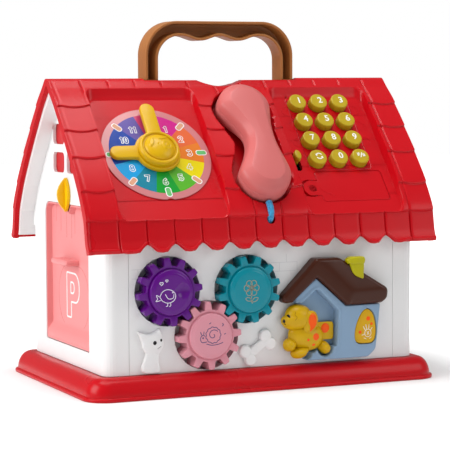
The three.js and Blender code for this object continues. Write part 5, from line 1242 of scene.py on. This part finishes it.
dimple_x, dimple_z, dimple_radius, dimple_depth = 8.6, 1.0, 6.2, 2.0
for gear_name, (gear_middle, gear_colour, ink_colour) in gears.items():
    line = np.arctan2(35.5, -32.5) if gear_name == "purple" else np.arctan2(34.5, 34.0)
    gear_phase = pink_turn if gear_name == "pink" else 2 * line + np.pi - pink_turn + np.pi / teeth
    gear_rings = []
    for shrink, height in wheel_profile:
        radius = gear_radius(gear_phase, gear_root - shrink * 0.5, gear_tip - shrink)
        gear_rings.append(at_height(radius[:, None] * toward(gear_angle), height))
    cap_profile = [
        (19.3, 7.42), (18.6, 7.2), (18.3, 6.9), (17.85, 6.9), (17.8, 7.6), (17.75, 8.9),
        (17.5, 9.5), (16.9, 9.85), (16.0, 10.0), (15.2, 10.06), (14.9, 10.2), (14.5, 10.33),
        (13.8, 10.36), (10.0, 10.38), (7.0, 10.39), (4.0, 10.39), (1.0, 10.4)]
    if gear_name == "purple":
        cap_profile = cap_profile[:13] + [(r, 10.38) for r in np.arange(13.2, 0.4, -0.7)]
    for radius, height in cap_profile:
        ring = radius * toward(gear_angle)
        drop = 0.0
        if gear_name == "purple":
            away = np.hypot(ring[:, 0] - dimple_x, ring[:, 1] - dimple_z)
            drop = dimple_depth * np.maximum(1 - (away / dimple_radius) ** 2, 0)
            drop *= smooth_step(dimple_radius, dimple_radius - 0.6, away)
        gear_rings.append(at_height(ring, height - drop))
    wheel_plastic = moulded(
        f"gear_{gear_name}_moulding", gear_colour, roughness=0.22, coat=0.5, cloud=0.04,
        glow=0.06 if gear_name == "pink" else 0.0)
    ink = moulded(f"gear_{gear_name}_print", ink_colour, roughness=0.4, coat=0.2, cloud=0.02)
    gear_parts = [(*stack(gear_rings), wheel_plastic)]
    gear_parts += [
        (*ribbon(drawn, 0.26, 10.2, 10.46, whole), ink)
        for drawn, whole in gear_drawings[gear_name]]
    gear = assemble(
        f"gear_{gear_name}_wheel", [(p + (*gear_middle, 0), f, m) for p, f, m in gear_parts], 45,
        on_front)
    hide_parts(f"gear_{gear_name}")
    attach(gear, f"gear_{gear_name}")

# Marks in the right pan
# Fine ridges of the roof's moulding: three half rounds on each side of the keys, and two
# small rings beside the switch, one for on and one for off.
pan_marks = []
for mark_t in (105.0, 88.5, 72.0):
    for mark_x, start in ((51.0, np.pi / 2), (112.0, -np.pi / 2)):
        half_round = ring_line(mark_x, mark_t, 5.0, 4.6, start, start + np.pi, 20)
        pan_marks.append(ribbon(half_round, 0.28, -0.4, 0.16))
for mark_t in (60.0, 44.5):
    pan_marks.append(ribbon(ring_line(50.6, mark_t, 1.1, steps=20), 0.2, -0.4, 0.14, closed=True))
marks = assemble("pan_marks", pan_marks, placed=on_slope, material=red_plastic)
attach(marks, "house")

# Kennel
# A blue kennel is moulded in relief on the front wall, in a three-quarter view, with a
# beaded doorway. Its soft-edged brown roof and lime chimney are glued on.


def rounded(corners, radii, steps=7):
    """A closed outline whose corners are rounded: each arc is a curve from a place on one
    side to a place on the next that pulls toward the corner."""
    corners = np.asarray(corners, float)
    radii = np.broadcast_to(radii, len(corners))
    before, after = np.roll(corners, 1, axis=0), np.roll(corners, -1, axis=0)
    to_before, to_after = before - corners, after - corners
    long_before, long_after = np.linalg.norm(to_before, axis=1), np.linalg.norm(to_after, axis=1)
    to_before /= long_before[:, None]
    to_after /= long_after[:, None]
    half = np.arccos(np.clip((to_before * to_after).sum(1), -1, 1)) / 2
    reach = np.minimum(
        radii / np.maximum(np.tan(half), 0.05), 0.48 * np.minimum(long_before, long_after))
    start, end = corners + to_before * reach[:, None], corners + to_after * reach[:, None]
    u = np.linspace(0, 1, steps)[None, :, None]
    weight = np.sin(half)[:, None, None]
    pull = 2 * weight * u * (1 - u)
    top = (1 - u) ** 2 * start[:, None] + pull * corners[:, None] + u**2 * end[:, None]
    return (top / ((1 - u) ** 2 + 2 * weight * u * (1 - u) + u**2)).reshape(-1, 2)


def even(outline, pitch):
    """The same closed outline with places a pitch apart."""
    loop = np.vstack([outline, outline[:1]])
    run = run_along(loop)
    stops = np.linspace(0, run[-1], max(int(run[-1] / pitch), 8), endpoint=False)
    return np.stack([np.interp(stops, run, loop[:, 0]), np.interp(stops, run, loop[:, 1])], -1)


def edge_distance(places, outline):
    """How far places are from an outline, positive inside it: the least distance to its
    sides, and the side from the count of crossings."""
    a, b = outline, np.roll(outline, -1, axis=0)
    ab = b - a
    ap = places[:, None] - a[None]
    share = np.clip((ap * ab).sum(-1) / np.maximum((ab**2).sum(-1), 1e-12), 0, 1)
    away = np.linalg.norm(ap - share[..., None] * ab, axis=-1).min(1)
    above = (a[None, :, 1] > places[:, None, 1]) != (b[None, :, 1] > places[:, None, 1])
    cross = a[:, 0] + (places[:, None, 1] - a[:, 1]) * ab[:, 0] / np.where(
        np.abs(ab[:, 1]) < 1e-12, 1e-12, ab[:, 1])
    return np.where((above & (places[:, None, 0] < cross)).sum(1) % 2 == 1, away, -away)


def pillow(outline, top, low, edge, pitch=1.4, loops=()):
    """A solid on a wall: straight sides from low, a rim rounded with the radius edge, and
    inside it the height that top gives for each place, on a triangle net that keeps the
    lines given as loops."""
    outline = even(outline, pitch * 0.7)
    turn = np.linspace(0, np.pi / 2, 7)
    lines = [inset(outline, edge * (1 - np.cos(a))) if a else outline for a in turn]
    rings = [at_height(outline, low)]
    for a, line in zip(turn, lines):
        rings.append(at_height(line, top(line[:, 0], line[:, 1]) - edge * (1 - np.sin(a))))
    points, faces = stack(rings, low_cap=True, high_cap=False)
    inner = lines[-1]
    count = len(inner)
    net_in, sides = [inner], [(i, (i + 1) % count) for i in range(count)]
    for loop in loops:
        kept = edge_distance(loop, inner) > 0.3
        start = sum(len(p) for p in net_in)
        number = start + np.cumsum(kept) - 1
        ahead = np.flatnonzero(kept & np.roll(kept, -1))
        sides += np.stack([number[ahead], number[(ahead + 1) % len(loop)]], -1).tolist()
        net_in.append(loop[kept])
    grid_x, grid_z = np.meshgrid(
        np.arange(inner[:, 0].min(), inner[:, 0].max(), pitch),
        np.arange(inner[:, 1].min(), inner[:, 1].max(), pitch))
    places = np.stack([grid_x.ravel(), grid_z.ravel()], -1)
    near = edge_distance(places, inner) > 0.55 * pitch
    for loop in loops:
        near &= np.abs(edge_distance(places, loop)) > 0.3 * pitch
    net_in = np.vstack([*net_in, places[near]])
    found, _, triangles, *_ = delaunay_2d_cdt([Vector(p) for p in net_in], sides, [], 1, 1e-5)
    found = np.array(found, float).reshape(-1, 2)
    roof_points = np.column_stack([found, top(found[:, 0], found[:, 1])])
    faces += (np.array(triangles) + len(points)).tolist()
    return np.vstack([points, roof_points]), faces


def dome(line, middle, base, reach, power=0.5):
    """A half ball drawn out to a closed line: rings shrink toward the middle by the cosine
    of an angle and rise from the base by the reach times its sine to twice the power."""
    turn = np.radians((0, 6, 14, 24, 34, 44, 54, 63, 71, 78, 84, 88))
    middle = np.asarray(middle, float)
    return stack([
        at_height(middle + np.cos(a) * (line - middle), base + reach * np.sin(a) ** (2 * power))
        for a in turn])


def dome_height(line, middle, base, reach, power, x, z):
    """How high such a dome is over a place, from the share of the way from its middle to
    its line in that place's direction."""
    middle = np.asarray(middle, float)
    line_angle = np.arctan2(line[:, 1] - middle[1], line[:, 0] - middle[0])
    order = np.argsort(line_angle)
    radius = np.interp(np.arctan2(z - middle[1], x - middle[0]), line_angle[order],
                       np.linalg.norm(line - middle, axis=1)[order], period=2 * np.pi)
    share = np.clip(np.hypot(x - middle[0], z - middle[1]) / radius, 0, 0.995)
    return base + reach * (1 - share**2) ** power


def patch(line, height, lift, depth=0.6):
    """A printed or inlaid spot: it follows the height given for each place, a little above
    it, and closes below it."""
    middle = line.mean(0)
    rings = []
    shares = (0.97, 1.0, 0.97, 0.8, 0.6, 0.4, 0.2, 0.05)
    for share, up in zip(shares, (-depth, 0.0, *[lift] * 6)):
        place = middle + share * (line - middle)
        rings.append(at_height(place, height(place[:, 0], place[:, 1]) + up))
    return stack(rings)


def closed(points, per_span=6):
    """A smooth closed line through points."""
    p = np.asarray(points, float)
    around = np.vstack([p[-2:], p, p[:3]])
    return through(around, per_span)[2 * per_span:-2 * per_span - 1]


blue_plastic = moulded(
    "kennel_blue_moulding", (0.24, 0.36, 0.51), roughness=0.42, coat=0.12, cloud=0.03)
paw_turn = np.linspace(np.radians(8), np.radians(-172), 20)
foot_turn = np.linspace(np.radians(5), np.radians(-58), 8)
doorway_line = np.vstack([
    [(18.0, 67.3), (28.6, 67.3)],
    rounded([(20.0, 60.0), (28.9, 67.2), (42.4, 78.4), (60.6, 60.2), (58.9, 31.0), (50.0, 30.9)],
                                          [0.1, 2.0, 3.0, 3.5, 1.5, 0.1])[7:-7],
    (48.9, 30.2) + (6.9, 6.6) * toward(paw_turn), [(40.0, 27.6), (37.8, 27.0)],
    (28.9, 26.9) + (8.6, 5.9) * toward(foot_turn), [(32.0, 17.0), (18.0, 17.0)]])[::-1]
kennel_line = rounded([
    (26.0, 67.3), (26.0, 29.0), (29.0, 24.4), (34.0, 21.0), (88.0, 21.0), (95.0, 27.0),
    (99.2, 63.3), (67.3, 63.3), (41.3, 86.2), (23.6, 71.0), (23.6, 67.3)],
    [0.3, 2.0, 3.0, 3.0, 6.0, 6.0, 0.3, 0.5, 0.5, 0.3, 0.3])
paw_button_line = closed([
    (87.0, 59.7), (90.4, 57.9), (92.6, 54.6), (94.2, 49.5), (94.9, 44.0), (94.8, 38.6),
    (93.6, 34.4), (90.4, 32.1), (85.0, 31.8), (79.4, 32.2), (76.3, 34.4), (75.4, 38.6),
    (75.9, 43.6), (77.6, 49.4), (80.2, 54.6),
    (83.2, 58.2)][::-1])


def kennel_face(x, low, peak, end, corner, start=13.0, stop=104.0):
    """The level of a kennel face along it: it rises from low to its peak at the corner
    and falls to end, and the corner is eased."""
    off = x - corner
    eased = np.sqrt(off**2 + 9.0) - 3.0
    left = (peak - low) / (corner - start)
    right = (peak - end) / (stop - corner)
    return peak - eased * np.where(off < 0, left, right)


doorway_floor, well_floor, wall_foot = 1.8, 0.9, 0.3


def wall_top(x, z):
    """The kennel wall's level: its face, a bead round the doorway, the doorway's floor and
    the well of the paw button."""
    places = np.stack([x, z], -1)
    away = -edge_distance(places, doorway_line)
    level = kennel_face(x, 6.4, 10.0, 7.6, 68.0)
    level = level + 0.75 * smooth_step(2.6, 1.5, away) * smooth_step(-0.1, 0.6, away)
    level = doorway_floor + (level - doorway_floor) * smooth_step(-0.45, -0.05, away)
    well = -edge_distance(places, paw_button_line) - 0.55
    level = level + 0.35 * smooth_step(1.8, 0.7, well) * smooth_step(-0.1, 0.4, well)
    sunk = well_floor + (level - well_floor) * smooth_step(-0.4, 0.0, well)
    return np.where(well < 0.1, sunk, level)


kennel_loops = [
    inset(even(doorway_line, 0.8), q) for q in (0.45, 0.05, -0.3, -0.7, -1.2, -1.9, -2.7)]
kennel_loops += [inset(paw_button_line, q) for q in (-0.15, -0.55, -0.9, -1.4, -2.1)]
kennel_walls = assemble(
    "kennel_walls_relief", [pillow(kennel_line, wall_top, wall_foot, 1.1, 1.5, kennel_loops)],
    42, on_front, blue_plastic)
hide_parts("kennel_walls")
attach(kennel_walls, "house")
dark_brown = moulded(
    "kennel_roof_moulding", (0.05, 0.0095, 0.002), roughness=0.3, coat=0.2, cloud=0.1, shine=0.22)
crease = np.array([73.4, 73.8])


def kennel_roof_top(x, z):
    """Three planes that meet at one point, the gable band, the lit slope and the eave band:
    the lowest of them at each place, with soft creases."""
    dx, dz = x - crease[0], z - crease[1]
    band = 14.1 + 0.0836 * dx
    slope = band - 0.26 * (0.685 * dx + 0.729 * dz)
    eave = 14.1 - 0.082 * (0.9955 * dx + 0.095 * dz) - 0.24 * (0.095 * dx - 0.9955 * dz)
    eave = eave - 0.6 * np.minimum(0.956 * dx - 0.295 * dz, 0)
    ease = 0.42
    return -ease * np.log(np.exp(-band / ease) + np.exp(-slope / ease) + np.exp(-eave / ease))


roof_outline = rounded([
    (11.3, 72.6), (13.2, 67.4), (20.4, 67.9), (41.3, 86.9), (67.2, 63.8), (100.6, 63.9),
    (105.6, 67.5), (105.4, 76.0), (62.0, 102.0), (40.6, 102.2)],
    [3.5, 3.0, 1.0, 0.8, 1.8, 5.0, 5.0, 5.5, 6.0, 3.0])
kennel_roof = assemble(
    "kennel_roof_pillow", [pillow(roof_outline, kennel_roof_top, wall_foot, 2.6, 1.6)],
    60, on_front, dark_brown)
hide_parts("kennel_roof")
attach(kennel_roof, "house")
lime_plastic = moulded("lime_moulding", (0.44, 0.40, 0.002), roughness=0.36, coat=0.2, cloud=0.06)
cap_line = rounded(
    [(68.2, 96.9), (82.6, 96.2), (84.0, 99.6), (82.4, 102.6), (70.6, 102.6), (66.6, 100.4)],
    [2.0, 2.0, 2.0, 3.0, 3.0, 2.0])
stem_line = closed([
    (70.6, 97.6), (70.9, 94.0), (72.2, 90.2), (75.0, 87.2), (79.0, 85.4), (81.9, 84.8),
    (82.2, 88.0), (82.1, 97.4), (76.0, 98.6)])
chimney = assemble("kennel_chimney_cap", [
    pillow(cap_line, lambda x, z: 14.0 - 0.025 * (x - 75.5) ** 2, 7.6, 1.6, 1.2),
    pillow(stem_line, lambda x, z: 12.9 - 0.035 * (x - 77.0) ** 2, 7.6, 0.8, 1.2),
], 60, on_front, lime_plastic)
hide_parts("kennel_chimney")
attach(chimney, "house")

# Puppy
# A yellow push figure of a puppy looks out of the kennel. It is one moulding with rounded
# forms. Its eye and nose are painted black, and its spots and its ear's inside orange.
puppy_plastic = moulded(
    "puppy_moulding", (0.60, 0.36, 0.002), roughness=0.33, coat=0.15, cloud=0.06, glow=0.04)
puppy_orange = moulded("orange_paint", (0.90, 0.10, 0.002), roughness=0.4, coat=0.15, cloud=0.03)
puppy_black = moulded("black_paint", (0.008, 0.006, 0.004), roughness=0.25, coat=0.5, cloud=0.0)
# A darker copy of the puppy's yellow for the line of its cheek crease: painted shade.
cheek_crease_painted_shade = moulded("puppy_crease_painted_shade", (0.36, 0.20, 0.004), roughness=0.45, coat=0.0, cloud=0.0)
head_line = closed([
    (26.6, 66.2), (20.8, 65.3), (16.8, 62.2), (15.2, 58.0), (12.9, 56.4), (12.0, 54.2),
    (12.6, 51.2), (15.8, 47.8), (20.6, 45.8), (27.7, 45.1), (33.8, 46.6), (37.4, 51.2),
    (37.9, 57.6), (34.4, 63.8)])
body_foot = 4.3
head_dome = (head_line, (26.4, 56.2), body_foot, 9.8, 0.5)
body_line = closed([
    (18.4, 42.5), (19.4, 36.4), (24.6, 31.6), (33.5, 28.6), (41.6, 29.6), (47.2, 34.4),
    (49.0, 40.6), (46.4, 46.0), (40.6, 49.2), (33.0, 50.0), (25.3, 49.4), (20.0, 47.0)])
body_dome = (body_line, (34.2, 39.6), body_foot, 8.6, 0.5)
ear_line = closed([
    (35.7, 60.7), (39.1, 59.0), (40.7, 54.8), (40.2, 50.0), (37.6, 46.2), (33.6, 43.3),
    (31.1, 43.7), (29.6, 46.5), (28.9, 51.1), (29.2, 55.9), (31.6, 59.6)])
inlay_line = closed([
    (36.2, 59.4), (38.6, 57.4), (39.6, 53.6), (39.1, 49.8), (36.9, 47.0), (34.2, 44.8),
    (33.1, 45.4), (33.3, 48.8), (31.9, 52.4), (32.1, 55.8), (33.7, 58.4)])
left_paw_line = ring_line(19.0, 34.2, 5.3, 5.5, steps=48)
front_paw_line = closed([
    (20.4, 26.4), (21.0, 29.4), (25.0, 31.9), (31.1, 32.9), (35.8, 32.6), (35.2, 29.4),
    (31.8, 25.1), (27.3, 22.9), (22.6, 23.4)])
rear_paw_line = closed([
    (43.4, 31.8), (45.6, 35.4), (50.0, 35.8), (53.6, 32.8), (54.8, 29.2), (53.0, 26.0),
    (49.6, 25.2), (46.0, 27.6)])


def ribbon_line(line, half):
    """A short path widened to both sides, as a closed outline."""
    side = beside_line(line) * half
    return np.vstack([line - side, (line + side)[::-1]])


def ear_height(x, z):
    """The ear's level: a raised rim round a shallow dish."""
    away = edge_distance(np.stack([x, z], -1), ear_line)
    return 11.2 + 2.9 * np.sin(
        np.clip(away / 3.2, 0, 1) * np.pi / 2) - 0.5 * smooth_step(2.2, 3.4, away)


def head_height(x, z):
    return dome_height(*head_dome, x, z)


def body_height(x, z):
    return dome_height(*body_dome, x, z)


flank_line = rounded_box(38.0, 58.0, 36.6, 51.0, 2.0, 6)
puppy_parts = [(*skin, puppy_plastic) for skin in (
    dome(*head_dome), dome(*body_dome), dome(left_paw_line, (19.0, 34.2), body_foot, 7.6),
    dome(front_paw_line, (27.6, 28.0), body_foot, 9.6),
    dome(rear_paw_line, (49.2, 30.6), body_foot, 8.0),
    pillow(ear_line, ear_height, body_foot, 0.6, 1.0),
    pillow(flank_line, lambda x, z: 5.9 + 0 * x, body_foot, 0.8, 3.0))]
puppy_parts += [
    (*patch(inlay_line, ear_height, 0.12), puppy_orange),
    (*patch(ring_line(16.6, 57.6, 0.85, 1.15, steps=20), head_height, 0.12), puppy_black),
    (*dome(ring_line(13.2, 53.6, 1.2, 1.5, steps=24), (13.2, 53.6), 7.6, 1.6), puppy_black),
    (*patch(bar(13.2, 51.6, 14.4, 51.0, 0.25), head_height, 0.1, 0.2), puppy_black)]
puppy_parts += [(*patch(spot, body_height, 0.1), puppy_orange) for spot in (
    ring_line(39.2, 40.2, 2.9, steps=32), ring_line(32.2, 38.2, 1.1, steps=20),
    ring_line(37.4, 34.0, 1.5, 1.1, steps=20))]
puppy_parts.append(
    (*dome(ring_line(50.4, 46.0, 3.7, 4.0, steps=32), (50.4, 46.0), 5.6, 1.2, 0.4), puppy_orange))
# The cheek's crease is drawn as short strokes of painted shade.
cheek = through([(21.4, 60.9), (20.6, 58.8), (21.9, 56.6), (20.2, 54.4)], 8)
for start in range(0, len(cheek) - 1, 3):
    stroke = ribbon_line(cheek[start:start + 4], 0.22)
    puppy_parts.append((*patch(stroke, head_height, 0.06, 0.2), cheek_crease_painted_shade))
puppy = assemble("puppy_figure", puppy_parts, 60, on_front)
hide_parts("puppy")
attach(puppy, "puppy")

# Paw button
# An egg-shaped yellow push button in the kennel's side wall, with painted orange spots and
# a white line drawing of a hand.
button_plastic = moulded(
    "button_moulding", (0.66, 0.37, 0.004), roughness=0.35, coat=0.25, cloud=0.04, glow=0.04)


def button_height(x, z):
    """The button's face: 9 mm out in the middle and a little lower toward its rim."""
    return 8.95 - 0.5 * (np.hypot((x - 85.3) / 10.0, (z - 45.6) / 14.0)) ** 2


button_parts = [(*pillow(paw_button_line, button_height, 3.2, 0.9, 1.6), button_plastic)]
for spot_x, spot_z, spot_radius in ((87.7, 51.9, 1.8), (90.7, 47.5, 1.2), (80.4, 41.2, 1.35)):
    button_parts.append((
        *patch(ring_line(spot_x, spot_z, spot_radius, steps=24), button_height, 0.08),
        puppy_orange))
hand_lines = [
    ring_line(87.4, 40.2, 2.9, 3.1, steps=24), [(84.9, 42.4), (83.2, 45.8)],
    [(86.2, 43.2), (85.4, 47.2)], [(88.0, 43.3), (88.4, 47.0)], [(89.6, 42.0), (91.2, 44.6)],
    [(84.6, 39.6), (82.0, 38.6)], [(86.4, 41.4), (88.6, 38.9)], [(86.6, 38.6), (88.2, 41.6)],
    [(83.9, 36.4), (86.0, 35.4)], [(88.8, 35.6), (90.6, 36.8)]]
for hand_line in hand_lines:
    hand_points, hand_faces = ribbon(hand_line, 0.2, -0.4, 0.1, closed=len(hand_line) > 2)
    hand_points[:, 2] += button_height(hand_points[:, 0], hand_points[:, 1])
    button_parts.append((hand_points, hand_faces, white_print))
paw_button = assemble("paw_button_egg", button_parts, 50, on_front)
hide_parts("paw_button")
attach(paw_button, "paw_button")

# Cat, bone and bricks
# The front wall's mouldings in low relief: a sitting cat, a bone and a few faint bricks.
# They are part of the white wall. Only the cat's eyes and mouth are printed, in black, and the
# bricks' joints are grey lines of painted shade.
cat_line = inset(even(np.array([
    (-104.6, 20.0), (-102.1, 18.9), (-91.5, 18.9), (-89.5, 19.8), (-89.9, 22.9), (-91.4, 27.3),
    (-91.3, 31.6), (-89.6, 34.4), (-87.4, 39.9), (-87.4, 44.3), (-88.0, 48.0), (-90.4, 52.8),
    (-93.8, 50.6), (-97.1, 49.1), (-100.6, 49.0), (-107.9, 51.0), (-104.6, 42.6), (-104.4, 38.9),
    (-101.3, 34.1), (-103.0, 29.0), (-105.1, 23.9)]), 0.8), -0.25)


def swell(x, z, middle_x, middle_z, reach_x, reach_z):
    """One at the middle of an ellipse, falling as a half ball does to nought at its edge."""
    return np.sqrt(
        np.clip(1 - ((x - middle_x) / reach_x) ** 2 - ((z - middle_z) / reach_z) ** 2, 0, 1))


# How much each part of the cat swells, where its middle is and how far it reaches.
cat_swells = [
    (1.0, -96.0, 41.9, 9.3, 8.6), (0.85, -98.0, 25.5, 7.6, 9.5), (0.95, -101.0, 23.0, 4.6, 5.0),
    (0.9, -91.6, 25.4, 1.7, 9.5), (0.9, -95.2, 24.6, 1.7, 8.0), (0.6, -104.0, 47.5, 2.6, 3.4),
    (0.6, -90.4, 49.6, 2.2, 3.2)]


def cat_height(x, z):
    """The cat's level: swells for its head, its body, its haunch, its forelegs and its ears."""
    return 3.0 + np.max([share * swell(x, z, *place) for share, *place in cat_swells], axis=0)


relief_foot = 0.2
eye_black = moulded("eye_print", (0.006, 0.006, 0.006), roughness=0.25, coat=0.3, cloud=0.0)
cat = assemble("cat_relief", [
    (*pillow(cat_line, cat_height, relief_foot, 1.3, 0.8), white_plastic),
    (*patch(ring_line(-94.9, 42.3, 1.5, 1.6, steps=24), cat_height, 0.1), eye_black),
    (*patch(ring_line(-89.6, 44.1, 0.85, 1.1, steps=20), cat_height, 0.1, 1.2), eye_black),
    (*patch(bar(-92.6, 37.6, -89.6, 39.5, 0.16), cat_height, 0.08, 0.4), eye_black),
], 60, on_front)
bone_low, bone_high = np.array([-15.7, 27.4]), np.array([1.7, 39.2])
bone_long, knob_radius, knob_spread, bar_half = np.linalg.norm(bone_high - bone_low), 5.3, 3.9, 4.0
bone_along = (bone_high - bone_low) / bone_long
bone_side = np.array([-bone_along[1], bone_along[0]])
bone_parts = []
for bone_end in (bone_low, bone_high):
    for side in (-1, 1):
        knob = bone_end + knob_spread * side * bone_side
        bone_parts.append(pillow(
            ring_line(*knob, knob_radius, steps=56),
            lambda x, z, k=knob: 3.1 + 0.75 * swell(x, z, *k, knob_radius, knob_radius),
            relief_foot, 1.6, 1.2))
bone_bar = np.array([
    bone_low - bar_half * bone_side, bone_high - bar_half * bone_side,
    bone_high + bar_half * bone_side, bone_low + bar_half * bone_side])


def bar_height(x, z):
    """The bone's bar: round across, and lower in the middle than at its ends."""
    along = ((x - bone_low[0]) * bone_along[0] + (z - bone_low[1]) * bone_along[1]) / bone_long
    across = (x - bone_low[0]) * bone_side[0] + (z - bone_low[1]) * bone_side[1]
    round_across = np.sqrt(np.clip(1 - (across / 4.3) ** 2, 0, 1))
    return 2.9 + 0.6 * round_across - 0.25 * np.sin(np.pi * np.clip(along, 0, 1))


bone_parts.append(pillow(bone_bar, bar_height, relief_foot, 1.4, 1.0))
bone = assemble("bone_relief", bone_parts, 60, on_front, white_plastic)
# The bricks' faint engraved joints are drawn as thin grey ribbons in a darker copy of the white:
# painted shade of the grooves.
brick_painted_shade = moulded("brick_groove_painted_shade", (0.66, 0.66, 0.67), roughness=0.4, coat=0.0, cloud=0.0)
brick_lines = [
    [(5.2, 99.5), (28.5, 99.5)], [(9.0, 92.6), (27.0, 92.6)], [(19.2, 99.5), (19.2, 106.0)],
    [(13.0, 92.6), (13.0, 99.5)], [(28.5, 92.6), (28.5, 99.5)], [(23.0, 89.0), (23.0, 92.6)],
    [(-112.0, 99.0), (-104.0, 99.0)], [(-112.0, 92.0), (-106.5, 92.0)],
    [(-107.0, 92.0), (-107.0, 99.0)]]
bricks = assemble(
    "front_bricks", [ribbon(line, 0.22, -0.3, 0.05) for line in brick_lines],
    placed=on_front, material=brick_painted_shade)
for relief in (cat, bone, bricks):
    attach(relief, "house")

# Garage door
# A pink moulding fills the gateway of the left wall: a shallow tray with a finger ledge and
# three boards marked at its head. A large P with a white outline is printed on it.
wall_left = -134.5


def on_gable(points):
    """Places on the left wall from their distance to the right as one looks at it, their
    height and their distance out of it."""
    p = np.asarray(points, float)
    return np.stack([wall_left - p[:, 2], -p[:, 0], p[:, 1]], -1)


door_plastic = moulded(
    "door_moulding", (0.78, 0.27, 0.27), roughness=0.42, coat=0.06, cloud=0.02, glow=0.06)
# The boards' lines and the oval round the P are drawn in a darker copy of the door's pink: painted
# shade of moulded grooves.
door_groove_painted_shade = moulded("door_line_painted_shade", (0.66, 0.20, 0.20), roughness=0.5, coat=0.0, cloud=0.0)
bite_x = 3.7
notch_up = np.linspace(139.1, 145.1, 6)
notch_half = np.interp(notch_up, [138.6, 141.0, 145.1, 153.0], [0.0, 2.4, 5.2, 8.1])
bite_line = np.vstack([
    np.stack([bite_x + notch_half, notch_up], -1)[::-1],
    np.stack([bite_x - notch_half, notch_up], -1)[1:]])
door_corner = rounded(
    [(-51.1, 145.1), (-51.1, 32.6), (51.1, 32.6), (51.1, 145.1)], [8.6, 1.5, 1.5, 8.6], 9)
door_line = np.vstack([door_corner, bite_line])


dish_floor, mark_low, mark_high, mark_half = -5.0, -5.4, -4.92, 0.3


def door_height(x, z):
    """The door's level: a narrow rim, inside it a floor 4.7 mm lower that rises at the foot
    over the hinge's knuckle."""
    inside = edge_distance(np.stack([x, z], -1), door_line)
    floor = dish_floor + 4.3 * smooth_step(47.0, 38.5, z)
    return floor + (-0.4 - floor) * smooth_step(1.9, 1.2, inside)


door_loops = [inset(even(door_line, 1.6), q) for q in (1.2, 1.4, 1.65, 1.95)]
boards = (
    (-44.6, 132.0), (-38.0, 129.0), (-27.0, 122.0), (-13.0, 117.5), (-1.0, 117.5), (6.7, 122.0),
    (23.7, 134.0), (31.0, 131.0))
oval_line = rounded_box(-33.5, 37.9, 44.7, 96.0, 24.0, 16)
letter_outer = rounded(
    [(-13.8, 89.6), (-13.8, 53.7), (-3.4, 53.7), (-3.4, 66.4), (15.6, 66.4), (15.6, 89.6)],
    [1.2, 1.2, 1.2, 0.6, 11.0, 11.0], 9)
letter_inner = rounded(
    [(-4.4, 82.2), (-4.4, 73.4), (3.8, 73.4), (3.8, 82.2)], [0.6, 0.6, 4.0, 4.0], 6)
garage_door = assemble("garage_door_tray", [
    (*pillow(door_line, door_height, -7.2, 0.4, 3.0, door_loops), door_plastic),
    (*slab(rounded_box(-20.5, 16.4, 96.8, 101.2, 1.9, 8), -5.5, 6.5, edge=1.9), door_plastic),
    # Darker pink lines of painted shade: the boards' marks and the oval round the P.
    *(
        (*ribbon([(x, foot), (x, 142.6)], mark_half, mark_low, mark_high), door_groove_painted_shade)
        for x, foot in boards),
    (*ribbon(oval_line, mark_half, mark_low, mark_high, closed=True), door_groove_painted_shade),
    *(
        (*ribbon(line, 0.72, mark_low, -4.86, closed=True), white_print)
        for line in (letter_outer, letter_inner)),
], 35, on_gable)
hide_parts("garage_door")
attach(garage_door, "garage_door")

# Door catch
# A yellow pointed oval with a finger fin turns on its shaft and holds the door shut.
catch_yellow = moulded(
    "catch_moulding", (0.85, 0.50, 0.004), roughness=0.3, coat=0.25, cloud=0.03, glow=0.06)
dress("door_catch", catch_yellow, 25)

# Inside parts
# What the shells hide or half hide: turned steel pins and spindles, a silicone mat, a
# lacquered circuit board, the black battery box with two cells and the loudspeaker.
steel_nodes = (
    "clock_spindle", "handle_pin_left", "handle_pin_right",
    "gear_axle_purple", "gear_axle_pink", "gear_axle_teal", "door_hinge_rod")
for steel_node in steel_nodes:
    dress(steel_node, steel_metal, 35)
dress("keypad_mat", moulded("silicone_mat", (0.52, 0.52, 0.50), 0.6, coat=0.0, cloud=0.06))
dress("main_board", moulded("green_lacquer", (0.015, 0.16, 0.05), 0.3, coat=0.4, cloud=0.5))
box_plastic = moulded("black_moulding", (0.02, 0.02, 0.022), 0.45, coat=0.1, cloud=0.1)
for box_node in ("battery_box", "speaker"):
    dress(box_node, box_plastic)
cell_sleeve = moulded("cell_sleeve", (0.10, 0.14, 0.30), 0.28, coat=0.5, cloud=0.1)
for cell_node in ("battery_cell_1", "battery_cell_2"):
    dress(cell_node, cell_sleeve)
